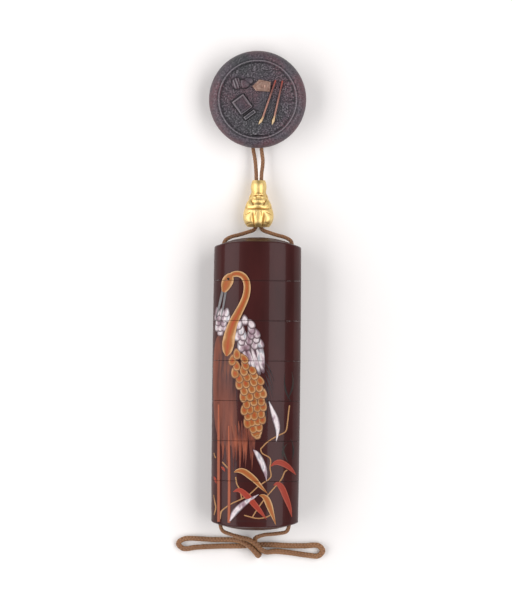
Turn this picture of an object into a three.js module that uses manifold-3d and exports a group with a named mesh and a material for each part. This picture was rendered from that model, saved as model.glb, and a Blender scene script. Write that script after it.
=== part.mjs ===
// An inro: a flat case of seven stacked compartments that hangs from a sash, with its cord, its sliding bead
// (ojime) and its round toggle (netsuke). It lies on its back, as it does when it is put down.
//
// Units are millimetres. +X is the right of the picture side, +Y runs along the case towards the toggle, and +Z is
// up, out of the picture side. The origin is on the flat of the back, at the middle of the case.

import * as THREE from 'three';
import { mergeVertices } from 'three/addons/utils/BufferGeometryUtils.js';
import Module from 'manifold-3d';

// ---- Driving dimensions ----

// The case: an oval body with gently domed ends.
const HALF_LENGTH = 55.7;         // from the middle to the crown of either domed end
const HALF_WIDTH = 16.75;         // at the middle of the length
const SLIMMING = 0.28;            // how much narrower each side is at the ends
const HALF_DEPTH = 11.0;
const AXIS_HEIGHT = 10.7;         // the axis above the flat of the back, which is cut a little into the oval
const CASE_SIDES = 48;
const LID_RIM_DROP = [1.7, 2.15]; // how far the rim is below the crown in front, and how much more at the sides
const BASE_RIM_DROP = [1.35, 1.85];
const RIM_SWEEP = 3.3;            // how late the rim bends down towards the sides
const DOME_FULLNESS = 2.2;        // the power of the dome's fall: 2 is a parabola

// The joints between the compartments.
const FIRST_SEAM = 39.2;          // between the lid and the first compartment
const COMPARTMENT_PITCH = 15.22;
const SEAM_GAP = 0.3;
const COMPARTMENTS = 5;           // between the lid and the base

// Inside a compartment.
const INSIDE_HALF = [10.4, 8.6];  // half width and half depth of the hollow
const RISER_HALF = [11.1, 9.3];   // the lip that stands up into the compartment above
const RECESS_HALF = [11.4, 9.6];  // the step under a compartment that takes the lip below it
const RISER_HEIGHT = 4.0;
const RECESS_DEPTH = 4.3;
const FLOOR = 1.2;
const LID_ROOF = 52.7;            // the inside height of the lid
const BASE_FLOOR = -53.0;
const OVAL_POWER = 3;
const OVAL_SIDES = 28;

// The cord and its way through the case.
const CORD_RADIUS = 0.8;
const CORD_SIDES = 8;
const CHANNEL_X = 13.0;           // the two cord channels, one in each narrow side
const CHANNEL_RADIUS = 1.2;
const MOUTH_RADIUS = 2.3;         // where a channel opens on the domed ends
const MOUTH_NECK = 51.0;
const MOUTH_TOP = 54.0;

// The bead, a seated figure, drilled lengthwise.
const BEAD_X = 0.1;
const BEAD_BOTTOM = 59.6;
const BEAD_LENGTH = 17.8;
const BEAD_AXIS_HEIGHT = 5.0;
const BEAD_BORE_HALF = [1.95, 1.1];

// The toggle, a round bun with a flat back and a sunk front.
const TOGGLE_CENTRE = [-0.7, 108.1];
const TOGGLE_RADIUS = 18.5;
const TOGGLE_FLAT_RADIUS = 10;    // of the flat back
const TOGGLE_WAIST = 6.6;         // height of its widest line
const TOGGLE_RIM_HEIGHT = 11.0;
const TOGGLE_RIDGE = [14.8, 11.35];
const TOGGLE_FIELD = [14.3, 10.5];
const TOGGLE_SIDES = 48;
const TOGGLE_BORE_RADIUS = 1.15;
const TOGGLE_BORE_HEIGHT = 3.3;
const TOGGLE_BORE_SPREAD = [1.45, 3.0]; // half the distance between the two bores, at the edge and deep inside
const INLAY_GAP = 0.3;

// The route of the cord. It is one length: both ends are held in the toggle, and its middle is tied in a bow.
// This is the left strand, from inside the toggle, through the bead and into the left channel. The right strand
// mirrors it about the line through the bead.
const STRAND = [
  [-3.2, 97.0, 3.3], [-2.35, 90.3, 3.3], [-1.35, 84.6, 3.9], [-0.92, 79.6, 4.8], [-0.83, 75.5, 5.0],
  [-0.83, 59.9, 5.0], [-1.45, 58.6, 5.4], [-3.8, 57.6, 6.9], [-7.0, 56.6, 8.8], [-10.2, 55.7, 10.2],
  [-12.4, 54.3, 10.7], [-13.0, 51.8, 10.7],
];
// From the left channel to the right one: over the front of the knot to the right loop, behind the knot to the
// left loop, over the front again beside the first wrap, and up behind it.
const BOW = [
  [-13.0, -51.5, 10.7], [-12.95, -54.2, 10.7], [-12.1, -56.0, 10.3], [-8.8, -57.4, 9.0], [-5.2, -58.5, 7.4],
  [-2.2, -59.3, 6.0], [0.5, -61.0, 5.4], [2.5, -63.0, 4.2], [4.6, -64.0, 2.0],
  [8.0, -63.7, 1.15], [13.0, -64.1, 1.1], [20.0, -65.0, 1.1], [24.4, -65.2, 1.1], [26.0, -63.3, 1.1],
  [24.4, -61.4, 1.1], [19.0, -61.5, 1.1], [13.0, -61.5, 1.1], [6.0, -61.2, 1.1], [0.5, -61.3, 1.15],
  [-4.5, -61.8, 1.1], [-13.0, -62.0, 1.1], [-22.0, -62.5, 1.1], [-27.1, -63.0, 1.1], [-28.9, -61.2, 1.1],
  [-27.1, -59.5, 1.1], [-16.0, -59.5, 1.1], [-7.5, -59.6, 1.3], [-4.3, -60.4, 3.4],
  [-1.6, -62.1, 4.9], [0.3, -64.1, 4.5], [1.5, -65.4, 2.6], [1.9, -64.5, 1.2], [0.9, -62.8, 2.6],
  [0.3, -61.0, 3.4], [0.4, -58.8, 4.7], [3.4, -57.5, 6.4], [8.3, -56.9, 8.9], [12.1, -56.0, 10.3],
  [12.95, -54.2, 10.7], [13.0, -51.5, 10.7],
];

// ---- Solids ----

const wasm = await Module();
wasm.setup();

// A closed three.js geometry as a manifold solid: equal corners merged, and the flat slivers at a pole left out.
function solidFrom(geometry) {
  const bare = geometry.clone();
  bare.deleteAttribute('normal');
  bare.deleteAttribute('uv');
  const merged = mergeVertices(bare, 1e-4);
  const index = merged.index.array;
  const triangles = [];
  for (let i = 0; i < index.length; i += 3) {
    const [a, b, c] = [index[i], index[i + 1], index[i + 2]];
    if (a !== b && b !== c && c !== a) triangles.push(a, b, c);
  }
  return new wasm.Manifold(new wasm.Mesh({
    numProp: 3,
    vertProperties: Float32Array.from(merged.attributes.position.array),
    triVerts: Uint32Array.from(triangles),
  }));
}

function geometryFrom(solid) {
  const mesh = solid.getMesh();
  const geometry = new THREE.BufferGeometry();
  geometry.setAttribute('position', new THREE.BufferAttribute(Float32Array.from(mesh.vertProperties), 3));
  geometry.setIndex(new THREE.BufferAttribute(Uint32Array.from(mesh.triVerts), 1));
  geometry.computeVertexNormals();
  return geometry;
}

function moveVertices(geometry, place) {
  const position = geometry.attributes.position;
  const point = new THREE.Vector3();
  for (let i = 0; i < position.count; i++) {
    point.fromBufferAttribute(position, i);
    place(point);
    position.setXYZ(i, point.x, point.y, point.z);
  }
  return geometry;
}

// A straight prism along Y, round the axis of the case, with a squarish oval section.
function ovalPrism([halfWidth, halfDepth], low, high) {
  const outline = [];
  for (let i = 0; i < OVAL_SIDES; i++) {
    const angle = (2 * Math.PI * i) / OVAL_SIDES;
    const [c, s] = [Math.cos(angle), Math.sin(angle)];
    outline.push(new THREE.Vector2(
      halfWidth * Math.sign(c) * Math.abs(c) ** (2 / OVAL_POWER),
      halfDepth * Math.sign(s) * Math.abs(s) ** (2 / OVAL_POWER),
    ));
  }
  const prism = new THREE.ExtrudeGeometry(new THREE.Shape(outline), { depth: high - low, bevelEnabled: false });
  prism.rotateX(-Math.PI / 2);
  prism.translate(0, low, AXIS_HEIGHT);
  return solidFrom(prism);
}

// A cylinder or cone between two points, with its own radius at each.
function rod(from, to, fromRadius, toRadius, sides) {
  const start = new THREE.Vector3(...from);
  const line = new THREE.Vector3(...to).sub(start);
  const geometry = new THREE.CylinderGeometry(toRadius, fromRadius, line.length(), sides);
  geometry.translate(0, line.length() / 2, 0);
  geometry.applyQuaternion(new THREE.Quaternion().setFromUnitVectors(
    new THREE.Vector3(0, 1, 0), line.clone().normalize(),
  ));
  geometry.translate(start.x, start.y, start.z);
  return solidFrom(geometry);
}

// A block by its size and middle, turned about Z.
function block([width, length, height], [x, y, z], turn = 0) {
  const geometry = new THREE.BoxGeometry(width, length, height);
  geometry.rotateZ(turn);
  geometry.translate(x, y, z);
  return solidFrom(geometry);
}

// An egg by its three half sizes and middle, turned about Z.
function egg([a, b, c], [x, y, z], turn = 0) {
  const geometry = new THREE.SphereGeometry(1, 10, 7);
  geometry.scale(a, b, c);
  geometry.rotateZ(turn);
  geometry.translate(x, y, z);
  return solidFrom(geometry);
}

// ---- The case ----

const seams = Array.from({ length: COMPARTMENTS + 1 }, (_, i) => FIRST_SEAM - i * COMPARTMENT_PITCH);

// The whole outside: a turned profile of radius 1, drawn out to the oval. The domed ends sink towards the rim,
// and further at the narrow sides than in front.
function caseBody() {
  const profile = [new THREE.Vector2(0, -HALF_LENGTH)];
  const rings = [0.5, 0.78, 0.92, 1];
  rings.forEach((r) => profile.push(new THREE.Vector2(r, -HALF_LENGTH)));
  [...seams].reverse().forEach((y) => profile.push(new THREE.Vector2(1, y)));
  [...rings].reverse().forEach((r) => profile.push(new THREE.Vector2(r, HALF_LENGTH)));
  profile.push(new THREE.Vector2(0, HALF_LENGTH));

  const body = moveVertices(new THREE.LatheGeometry(profile, CASE_SIDES), (point) => {
    const radius = Math.hypot(point.x, point.z);
    if (Math.abs(point.y) > HALF_LENGTH - 0.01 && radius > 0) {
      const [front, sides] = point.y > 0 ? LID_RIM_DROP : BASE_RIM_DROP;
      const drop = front + sides * Math.abs(point.x / radius) ** RIM_SWEEP;
      point.y -= Math.sign(point.y) * drop * radius ** DOME_FULLNESS;
    }
    const slimmed = 1 - (SLIMMING / HALF_WIDTH) * (point.y / HALF_LENGTH) ** 2;
    point.x *= HALF_WIDTH * slimmed;
    point.z = point.z * HALF_DEPTH * slimmed + AXIS_HEIGHT;
  });
  const upperSide = block([80, 160, 40], [0, 0, 20]);
  return solidFrom(body).intersect(upperSide);
}

function cordChannels() {
  let channels = null;
  for (const x of [-CHANNEL_X, CHANNEL_X]) {
    let channel = rod([x, -60, AXIS_HEIGHT], [x, 60, AXIS_HEIGHT], CHANNEL_RADIUS, CHANNEL_RADIUS, 12);
    for (const end of [-1, 1]) {
      channel = channel.add(rod(
        [x, end * MOUTH_NECK, AXIS_HEIGHT], [x, end * MOUTH_TOP, AXIS_HEIGHT], CHANNEL_RADIUS, MOUTH_RADIUS, 12,
      )).add(rod([x, end * MOUTH_TOP, AXIS_HEIGHT], [x, end * 60, AXIS_HEIGHT], MOUTH_RADIUS, MOUTH_RADIUS, 12));
    }
    channels = channels ? channels.add(channel) : channel;
  }
  return channels;
}

// One piece of the case, between two seams. Above its upper seam stands its riser, and in its under side is the
// step that fits over the riser below.
function caseSection(body, channels, { low, high, floor, roof }) {
  const bottom = low ?? -60;
  const top = high ?? 60;
  let section = body.intersect(block([80, top - bottom, 80], [0, (top + bottom) / 2, 0]));
  if (high !== undefined) {
    section = section
      .add(ovalPrism(RISER_HALF, high - FLOOR, high + RISER_HEIGHT))
      .subtract(ovalPrism(INSIDE_HALF, floor, high + RISER_HEIGHT + 1));
  }
  if (low !== undefined) section = section.subtract(ovalPrism(RECESS_HALF, low - 1, low + RECESS_DEPTH));
  if (roof !== undefined) section = section.subtract(ovalPrism(INSIDE_HALF, low, roof));
  return section.subtract(channels);
}

function caseSections() {
  const body = caseBody();
  const channels = cordChannels();
  const half = SEAM_GAP / 2;
  const parts = { lid: { low: seams[0] + half, roof: LID_ROOF } };
  for (let i = 1; i <= COMPARTMENTS; i++) {
    const low = seams[i] + half;
    parts[`case_${i}`] = { low, high: seams[i - 1] - half, floor: low + RECESS_DEPTH + FLOOR };
  }
  parts.base_case = { high: seams[COMPARTMENTS] - half, floor: BASE_FLOOR };
  return Object.entries(parts).map(([name, place]) => [name, caseSection(body, channels, place)]);
}

// ---- The bead ----

// Half width and half depth of the seated figure along its height, from its lap to the crown of its tall head.
const BEAD_PROFILE = [
  [0.0, 4.1, 3.9], [0.07, 5.0, 4.7], [0.2, 5.75, 5.1], [0.32, 5.6, 5.0], [0.44, 4.9, 4.5], [0.56, 3.95, 3.8],
  [0.66, 3.0, 3.1], [0.74, 2.75, 2.95], [0.83, 3.0, 3.1], [0.92, 2.85, 2.9], [1.0, 2.35, 2.2],
];
// Rounded swellings and hollows on it: how far up, the angle from the front in degrees, how tall and how wide
// they are, and how far they stand out or sink in.
const BEAD_FEATURES = [
  [0.17, -46, 0.11, 22, 0.7], [0.17, 46, 0.11, 22, 0.7],   // knees
  [0.13, 0, 0.1, 12, 0.35],                                // the robe's fall between them
  [0.15, -21, 0.13, 5, -0.5], [0.15, 21, 0.13, 5, -0.5],   // the folds beside it
  [0.39, 0, 0.02, 55, -0.35],                              // the girdle
  [0.5, -62, 0.09, 20, 0.6], [0.5, 62, 0.09, 20, 0.6],     // sleeves
  [0.46, 0, 0.035, 26, 0.5],                               // the folded hands
  [0.57, 0, 0.035, 18, 0.3],                               // the beard
  [0.655, 0, 0.025, 8, 0.4],                               // the nose
  [0.7, 0, 0.014, 34, 0.2],                                // the brow
  [0.66, -88, 0.05, 9, 0.45], [0.66, 88, 0.05, 9, 0.45],   // the ears
];
const BEAD_RINGS = 22;
const BEAD_SIDES = 32;

// A smooth value between the rows of the profile.
function profileAt(s, column) {
  const rows = BEAD_PROFILE;
  let i = 0;
  while (i < rows.length - 2 && rows[i + 1][0] < s) i++;
  const [low, high] = [rows[i], rows[i + 1]];
  const [before, after] = [rows[Math.max(i - 1, 0)], rows[Math.min(i + 2, rows.length - 1)]];
  const span = high[0] - low[0];
  const t = (s - low[0]) / span;
  const slopeLow = ((high[column] - before[column]) / (high[0] - before[0])) * span;
  const slopeHigh = ((after[column] - low[column]) / (after[0] - low[0])) * span;
  return low[column] * (1 - 3 * t * t + 2 * t ** 3) + high[column] * (3 * t * t - 2 * t ** 3)
    + slopeLow * (t - 2 * t * t + t ** 3) + slopeHigh * (t ** 3 - t * t);
}

function beadRelief(s, angle) {
  const degrees = THREE.MathUtils.radToDeg(angle);
  return BEAD_FEATURES.reduce((sum, [height, side, tall, wide, out]) => {
    const turn = Math.abs(degrees - side);
    return sum + out * Math.exp(-(((s - height) / tall) ** 2) - (turn / wide) ** 2);
  }, 0);
}

function bead() {
  const profile = [new THREE.Vector2(0, 0)];
  for (let i = 0; i <= BEAD_RINGS; i++) profile.push(new THREE.Vector2(1, i / BEAD_RINGS));
  profile.push(new THREE.Vector2(0, 1));
  const figure = moveVertices(new THREE.LatheGeometry(profile, BEAD_SIDES), (point) => {
    const [radius, s, angle] = [Math.hypot(point.x, point.z), point.y, Math.atan2(point.x, point.z)];
    const relief = beadRelief(s, angle);
    point.x = BEAD_X + radius * Math.sin(angle) * (profileAt(s, 1) + relief);
    point.y = BEAD_BOTTOM + BEAD_LENGTH * s;
    point.z = Math.max(0, BEAD_AXIS_HEIGHT + radius * Math.cos(angle) * (profileAt(s, 2) + relief));
  });
  const bore = new THREE.Shape();
  const [halfWidth, halfHeight] = BEAD_BORE_HALF;
  bore.absarc(halfWidth - halfHeight, 0, halfHeight, -Math.PI / 2, Math.PI / 2);
  bore.absarc(halfHeight - halfWidth, 0, halfHeight, Math.PI / 2, (3 * Math.PI) / 2);
  const drill = new THREE.ExtrudeGeometry(bore, { depth: BEAD_LENGTH + 4, bevelEnabled: false, curveSegments: 5 });
  drill.rotateX(-Math.PI / 2);
  drill.translate(BEAD_X, BEAD_BOTTOM - 2, BEAD_AXIS_HEIGHT);
  return solidFrom(figure).subtract(solidFrom(drill));
}

// ---- The toggle ----

const onToggle = (x, y, z) => [TOGGLE_CENTRE[0] + x, TOGGLE_CENTRE[1] + y, z];

function toggleDisc() {
  const profile = [new THREE.Vector2(0, 0)];
  const steps = 5;
  for (let i = 0; i <= steps; i++) {
    const angle = (Math.PI / 2) * (i / steps - 1);
    profile.push(new THREE.Vector2(
      TOGGLE_FLAT_RADIUS + (TOGGLE_RADIUS - TOGGLE_FLAT_RADIUS) * Math.cos(angle),
      TOGGLE_WAIST * (1 + Math.sin(angle)),
    ));
  }
  const shoulder = 3.2;
  for (let i = 1; i < steps; i++) {
    const angle = (Math.PI / 2) * (i / (steps - 1));
    profile.push(new THREE.Vector2(
      TOGGLE_RADIUS - shoulder * (1 - Math.cos(angle)),
      TOGGLE_WAIST + (TOGGLE_RIM_HEIGHT - TOGGLE_WAIST) * Math.sin(angle),
    ));
  }
  profile.push(new THREE.Vector2(...TOGGLE_RIDGE), new THREE.Vector2(...TOGGLE_FIELD));
  profile.push(new THREE.Vector2(0, TOGGLE_FIELD[1]));
  const disc = new THREE.LatheGeometry(profile, TOGGLE_SIDES);
  disc.rotateX(Math.PI / 2);
  disc.translate(...onToggle(0, 0, 0));
  return solidFrom(disc);
}

// The writing things on its front: an ink stone with its ink stick, and a folded packet.
const STONE_TURN = THREE.MathUtils.degToRad(-53);

function onStone(along, across, z) {
  const [c, s] = [Math.cos(STONE_TURN), Math.sin(STONE_TURN)];
  return onToggle(-5.9 + along * c - across * s, -2.0 + along * s + across * c, z);
}

function writingThings() {
  const field = TOGGLE_FIELD[1];
  return block([6.3, 5.7, 1.6], onStone(0, 0, field + 0.4), STONE_TURN)
    .subtract(block([4.6, 4.3, 1], onStone(-0.3, 0, field + 1.4), STONE_TURN))
    .add(block([0.8, 5.2, 1.9], onStone(2.9, 0, field + 0.55), STONE_TURN))
    .add(block([1.7, 5.3, 1.6], onStone(4.9, 0, field + 0.3), STONE_TURN))
    .add(egg([2.0, 2.2, 1.2], onToggle(-8.0, 6.0, field)))
    .add(egg([2.4, 1.7, 1.4], onToggle(-5.4, 5.8, field)))
    .add(egg([1.9, 1.3, 0.9], onToggle(-3.6, 6.9, field)));
}

function toggle() {
  let solid = toggleDisc().add(writingThings());
  const [spread, deepSpread] = TOGGLE_BORE_SPREAD;
  for (const side of [-1, 1]) {
    const deep = onToggle(side * deepSpread, -6, TOGGLE_BORE_HEIGHT);
    const slope = (deepSpread - spread) / (TOGGLE_RADIUS - 6);
    const outside = onToggle(side * (spread - 3 * slope), -TOGGLE_RADIUS - 3, TOGGLE_BORE_HEIGHT);
    solid = solid
      .subtract(rod(outside, deep, TOGGLE_BORE_RADIUS, TOGGLE_BORE_RADIUS, 12))
      .subtract(rod([deep[0], deep[1], -1], deep, 1.5, 1.5, 12));
  }
  return solid;
}

// The copper plaque: five sides, with a small boss at its middle.
function plaque() {
  const outline = [[-2.1, 5.0], [0.6, 7.6], [5.0, 6.7], [4.6, 2.9], [-0.6, 3.2]]
    .map(([x, y]) => new THREE.Vector2(x, y));
  const plate = new THREE.ExtrudeGeometry(new THREE.Shape(outline), {
    depth: 0.5, bevelThickness: 0.2, bevelSize: 0.2, bevelOffset: -0.2, bevelSegments: 1,
  });
  const height = TOGGLE_FIELD[1] + INLAY_GAP + 0.2;
  plate.translate(...onToggle(0, 0, height));
  return solidFrom(plate).add(rod(onToggle(2.2, 5.0, height), onToggle(2.2, 5.0, height + 0.95), 0.7, 0.5, 12));
}

// A writing brush lying on the field, from the end of its shaft to its point.
function brush(shaftEnd, ferrule, point) {
  const radius = 0.38;
  const height = TOGGLE_FIELD[1] + INLAY_GAP + radius;
  const lie = ([x, y], z = height) => onToggle(x, y, z);
  const hair = [0.55 * ferrule[0] + 0.45 * point[0], 0.55 * ferrule[1] + 0.45 * point[1]];
  return rod(lie(shaftEnd), lie(ferrule), 0.3, radius, 8)
    .add(rod(lie(ferrule), lie(hair, height + 0.1), radius, 0.55, 8))
    .add(rod(lie(hair, height + 0.1), lie(point), 0.55, 0.08, 8));
}

// ---- The cord ----

// A smooth curve through every point, which spends one step on each stretch between two of them.
class Route extends THREE.CatmullRomCurve3 {
  getPointAt(u, target) {
    return this.getPoint(u, target);
  }

  getTangentAt(u, target) {
    return this.getTangent(u, target);
  }
}

function cord() {
  const right = STRAND.map(([x, y, z]) => [(y > 54 ? 2 * BEAD_X : 0) - x, y, z]);
  const inToggle = ([x, y, z]) => [y > 88 ? x - 2 * (BEAD_X - TOGGLE_CENTRE[0]) : x, y, z];
  const points = [...STRAND, ...BOW, ...right.map(inToggle).reverse()];
  const route = new Route(points.map((p) => new THREE.Vector3(...p)), false, 'centripetal');
  const section = [];
  for (let i = 0; i < CORD_SIDES; i++) {
    const angle = (2 * Math.PI * i) / CORD_SIDES;
    section.push(new THREE.Vector2(CORD_RADIUS * Math.cos(angle), CORD_RADIUS * Math.sin(angle)));
  }
  const tube = new THREE.ExtrudeGeometry(new THREE.Shape(section), {
    steps: points.length - 1, extrudePath: route, bevelEnabled: false,
  });
  return solidFrom(tube);
}

// ---- The scene ----

const lacquer = { color: 0x2a100d, roughness: 0.12, metalness: 0 };
const finishes = {
  netsuke: { color: 0x3a2a30, roughness: 0.55, metalness: 0.1 },
  plaque: { color: 0xb9805a, roughness: 0.4, metalness: 0.9 },
  brush_left: { color: 0xa8674f, roughness: 0.4, metalness: 0.6 },
  brush_right: { color: 0xa8674f, roughness: 0.4, metalness: 0.6 },
  ojime: { color: 0xd9a520, roughness: 0.35, metalness: 1 },
  cord: { color: 0x6e3f1d, roughness: 0.9, metalness: 0 },
};

const inro = new THREE.Group();

function place(name, solid) {
  const material = new THREE.MeshStandardMaterial(finishes[name] ?? lacquer);
  const mesh = new THREE.Mesh(geometryFrom(solid), material);
  mesh.name = name;
  inro.add(mesh);
}

caseSections().forEach(([name, solid]) => place(name, solid));
place('ojime', bead());
place('netsuke', toggle());
place('plaque', plaque());
place('brush_left', brush([6.8, 7.4], [1.9, -7.3], [0.5, -9.5]));
place('brush_right', brush([9.4, 7.2], [6.4, -6.9], [5.6, -9.6]));
place('cord', cord());

export default inro;
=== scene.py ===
# %% [markdown]
# # An inro on its cord
#
# An inro is a nest of small lacquered boxes that fit one on the other and hang from a sash. One silk cord
# runs down through a channel in one narrow side, is tied in a bow under the case, and runs up through the
# other channel. Both ends pass through a sliding bead (ojime) and are knotted inside a round toggle
# (netsuke).
#
# The solids of all thirteen pieces already exist and are loaded as a fixed frame. This lesson makes the
# fine surfaces: the polished lacquer, the raised picture on it, the gilt bead, the carved toggle and the
# braid.

# %% The frame, and the units
import math
import random

import bmesh
import bpy
import numpy as np
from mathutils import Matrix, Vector


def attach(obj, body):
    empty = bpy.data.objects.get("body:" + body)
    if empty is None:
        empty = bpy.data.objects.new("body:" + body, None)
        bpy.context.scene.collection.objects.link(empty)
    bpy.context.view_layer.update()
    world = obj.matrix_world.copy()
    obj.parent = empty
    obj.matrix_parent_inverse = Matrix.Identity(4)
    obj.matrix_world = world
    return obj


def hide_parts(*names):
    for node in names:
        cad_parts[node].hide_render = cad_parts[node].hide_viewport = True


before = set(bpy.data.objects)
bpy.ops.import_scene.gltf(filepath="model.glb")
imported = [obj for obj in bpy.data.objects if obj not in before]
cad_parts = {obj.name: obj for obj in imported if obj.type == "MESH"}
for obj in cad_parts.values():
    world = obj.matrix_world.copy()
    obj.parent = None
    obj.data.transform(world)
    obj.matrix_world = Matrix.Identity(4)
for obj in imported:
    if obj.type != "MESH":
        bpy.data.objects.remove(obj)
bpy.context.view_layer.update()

MM = 0.001
scene = bpy.context.scene
print("pieces in the frame:", ", ".join(sorted(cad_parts)))

# %% [markdown]
# ## The camera
#
# The case lies on its back, and the eye is straight above it and far away, so nothing converges. A very
# long lens at a great distance gives that view and keeps the camera a normal perspective one. The case
# leans a little to the right in the view, which is a small roll of the camera and not a turn of the object.

# %% The camera, straight above
VIEW_HEIGHT = 0.2303            # metres of the object plane along the long side of the picture
LENS = 1000.0
SENSOR = 36.0
AIM = Vector((-0.00044, 0.0307, 0.0107))

camera_data = bpy.data.cameras.new("camera")
camera_data.lens = LENS
camera_data.sensor_width = SENSOR
camera_data.clip_start = 0.1
camera_data.clip_end = 50.0
camera = bpy.data.objects.new("camera", camera_data)
camera.location = AIM + Vector((0, 0, VIEW_HEIGHT * LENS / SENSOR))
camera.rotation_euler = (0, 0, math.radians(0.65))
scene.collection.objects.link(camera)
scene.camera = camera
print("camera height, m:", round(camera.location.z, 3))

# %% [markdown]
# ## Small helpers for meshes and node trees
#
# Every piece is built from plain numbers: a mesh from lists of points and faces, a node tree from its
# sockets. A few short helpers keep the cells below readable. Each new piece sits at the origin with its
# place in its mesh, and rides on the one body of this object.

# %% Helpers


def new_object(name, points, faces, material=None):
    """A mesh object from points in metres and faces as lists of point numbers."""
    mesh = bpy.data.meshes.new(name)
    mesh.from_pydata([tuple(p) for p in points], [], [tuple(f) for f in faces])
    mesh.validate()
    obj = bpy.data.objects.new(name, mesh)
    scene.collection.objects.link(obj)
    if material:
        mesh.materials.append(material)
    return obj


def shade(obj, sharp_degrees=35):
    """Smooth shading, with a crease wherever two faces meet at more than the given angle."""
    obj.data.shade_smooth()
    obj.data.set_sharp_from_angle(angle=math.radians(sharp_degrees))


def settle(obj, slot_name, *replaced):
    """Declares a finished piece: its body and the solids that it stands for. Its material slot, slot_name, is
    not used.
    """
    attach(obj, "root")
    if replaced:
        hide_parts(*replaced)
    triangles = sum(len(p.vertices) - 2 for p in obj.data.polygons)
    print(f"{obj.name}: {triangles} triangles")


def made_mesh(obj):
    """A plain mesh object from what the modifiers of obj make. It takes the name and the place of obj."""
    depsgraph = bpy.context.evaluated_depsgraph_get()
    mesh = bpy.data.meshes.new_from_object(obj.evaluated_get(depsgraph), depsgraph=depsgraph)
    name = obj.name
    bpy.data.objects.remove(obj)
    plain = bpy.data.objects.new(name, mesh)
    scene.collection.objects.link(plain)
    return plain


def store(obj, name, values):
    """Keeps one number for each point of the mesh, which a material can read."""
    layer = obj.data.attributes.new(name, "FLOAT", "POINT")
    layer.data.foreach_set("value", np.asarray(values, np.float32))


def points_of(obj):
    flat = np.empty(len(obj.data.vertices) * 3)
    obj.data.vertices.foreach_get("co", flat)
    return flat.reshape(-1, 3)


class Tree:
    """A node tree with short ways to add nodes and links."""

    def __init__(self, tree):
        self.tree = tree

    def add(self, kind, *inputs, out=0, **settings):
        """Adds a node, feeds its inputs in order (None skips one), and returns one of its outputs."""
        node = self.tree.nodes.new(kind)
        for key, value in settings.items():
            setattr(node, key, value)
        for socket, value in zip([s for s in node.inputs if s.enabled], inputs):
            self.feed(socket, value)
        return node.outputs[out]

    def feed(self, socket, value):
        if value is None:
            return
        if isinstance(value, bpy.types.NodeSocket):
            self.tree.links.new(value, socket)
        else:
            socket.default_value = value

    def math(self, operation, *inputs):
        return self.add("ShaderNodeMath", *inputs, operation=operation)

    def vector(self, operation, *inputs, out=0):
        return self.add("ShaderNodeVectorMath", *inputs, operation=operation, out=out)
# %% [markdown]
# ## The cord
#
# The cord is one length of braided silk: from inside the toggle, through the bead, down the left channel,
# round the bow, up the right channel and back into the toggle. Its route is a list of given points, joined
# by a smooth curve that passes through each of them.
#
# It could be a plain tube with a bump texture. A real braid catches the light on every strand, so the
# strands are made: four of them, two winding each way, each passing over and under the others. Geometry
# Nodes follow the route with them, because all four obey one rule.

# %% The route of the cord
BEAD_X = 0.1
TOGGLE_X = -0.7
STRAND = [
    (-3.2, 97.0, 3.3), (-2.35, 90.3, 3.3), (-1.35, 84.6, 3.9), (-0.92, 79.6, 4.8), (-0.83, 75.5, 5.0),
    (-0.83, 59.9, 5.0), (-1.45, 58.6, 5.4), (-3.8, 57.6, 6.9), (-7.0, 56.6, 8.8), (-10.2, 55.7, 10.2),
    (-12.4, 54.3, 10.7), (-13.0, 51.8, 10.7),
]
BOW = [
    (-13.0, -51.5, 10.7), (-12.95, -54.2, 10.7), (-12.1, -56.0, 10.3), (-8.8, -57.4, 9.0), (-5.2, -58.5, 7.4),
    (-2.2, -59.3, 6.0), (0.5, -61.0, 5.4), (2.5, -63.0, 4.2), (4.6, -64.0, 2.0),
    (8.0, -63.7, 1.15), (13.0, -64.1, 1.1), (20.0, -65.0, 1.1), (24.4, -65.2, 1.1), (26.0, -63.3, 1.1),
    (24.4, -61.4, 1.1), (19.0, -61.5, 1.1), (13.0, -61.5, 1.1), (6.0, -61.2, 1.1), (0.5, -61.3, 1.15),
    (-4.5, -61.8, 1.1), (-13.0, -62.0, 1.1), (-22.0, -62.5, 1.1), (-27.1, -63.0, 1.1), (-28.9, -61.2, 1.1),
    (-27.1, -59.5, 1.1), (-16.0, -59.5, 1.1), (-7.5, -59.6, 1.3), (-4.3, -60.4, 3.4),
    (-1.6, -62.1, 4.9), (0.3, -64.1, 4.5), (1.5, -65.4, 2.6), (1.9, -64.5, 1.2), (0.9, -62.8, 2.6),
    (0.3, -61.0, 3.4), (0.4, -58.8, 4.7), (3.4, -57.5, 6.4), (8.3, -56.9, 8.9), (12.1, -56.0, 10.3),
    (12.95, -54.2, 10.7), (13.0, -51.5, 10.7),
]
CORD_STEP = 0.0002


def other_side(point):
    """The right strand mirrors the left one, about whichever of toggle, bead or case is beside it."""
    x, y, z = point
    middle = TOGGLE_X if y > 88 else BEAD_X if y > 54 else 0
    return (2 * middle - x, y, z)


def smooth_curve(points, steps=24):
    """A centripetal Catmull-Rom curve through all the points."""
    ends = [2 * points[0] - points[1], *points, 2 * points[-1] - points[-2]]
    made = [points[0]]
    for before, start, end, after in zip(ends, ends[1:], ends[2:], ends[3:]):
        first, middle, last = (
            np.linalg.norm(b - a) ** 0.5 for a, b in ((before, start), (start, end), (end, after))
        )
        leave = ((start - before) / first - (end - before) / (first + middle)) * middle + (end - start)
        arrive = ((after - end) / last - (after - start) / (middle + last)) * middle + (end - start)
        for t in np.linspace(0, 1, steps + 1)[1:]:
            made.append(
                start + leave * t + (3 * (end - start) - 2 * leave - arrive) * t**2
                + (2 * (start - end) + leave + arrive) * t**3
            )
    return np.array(made)


def evenly(points, step):
    """The same line with its points one step apart."""
    along = np.concatenate([[0], np.cumsum(np.linalg.norm(np.diff(points, axis=0), axis=1))])
    places = np.linspace(0, along[-1], int(along[-1] / step) + 1)
    return np.stack([np.interp(places, along, points[:, axis]) for axis in range(3)], axis=1), along[-1]


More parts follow.
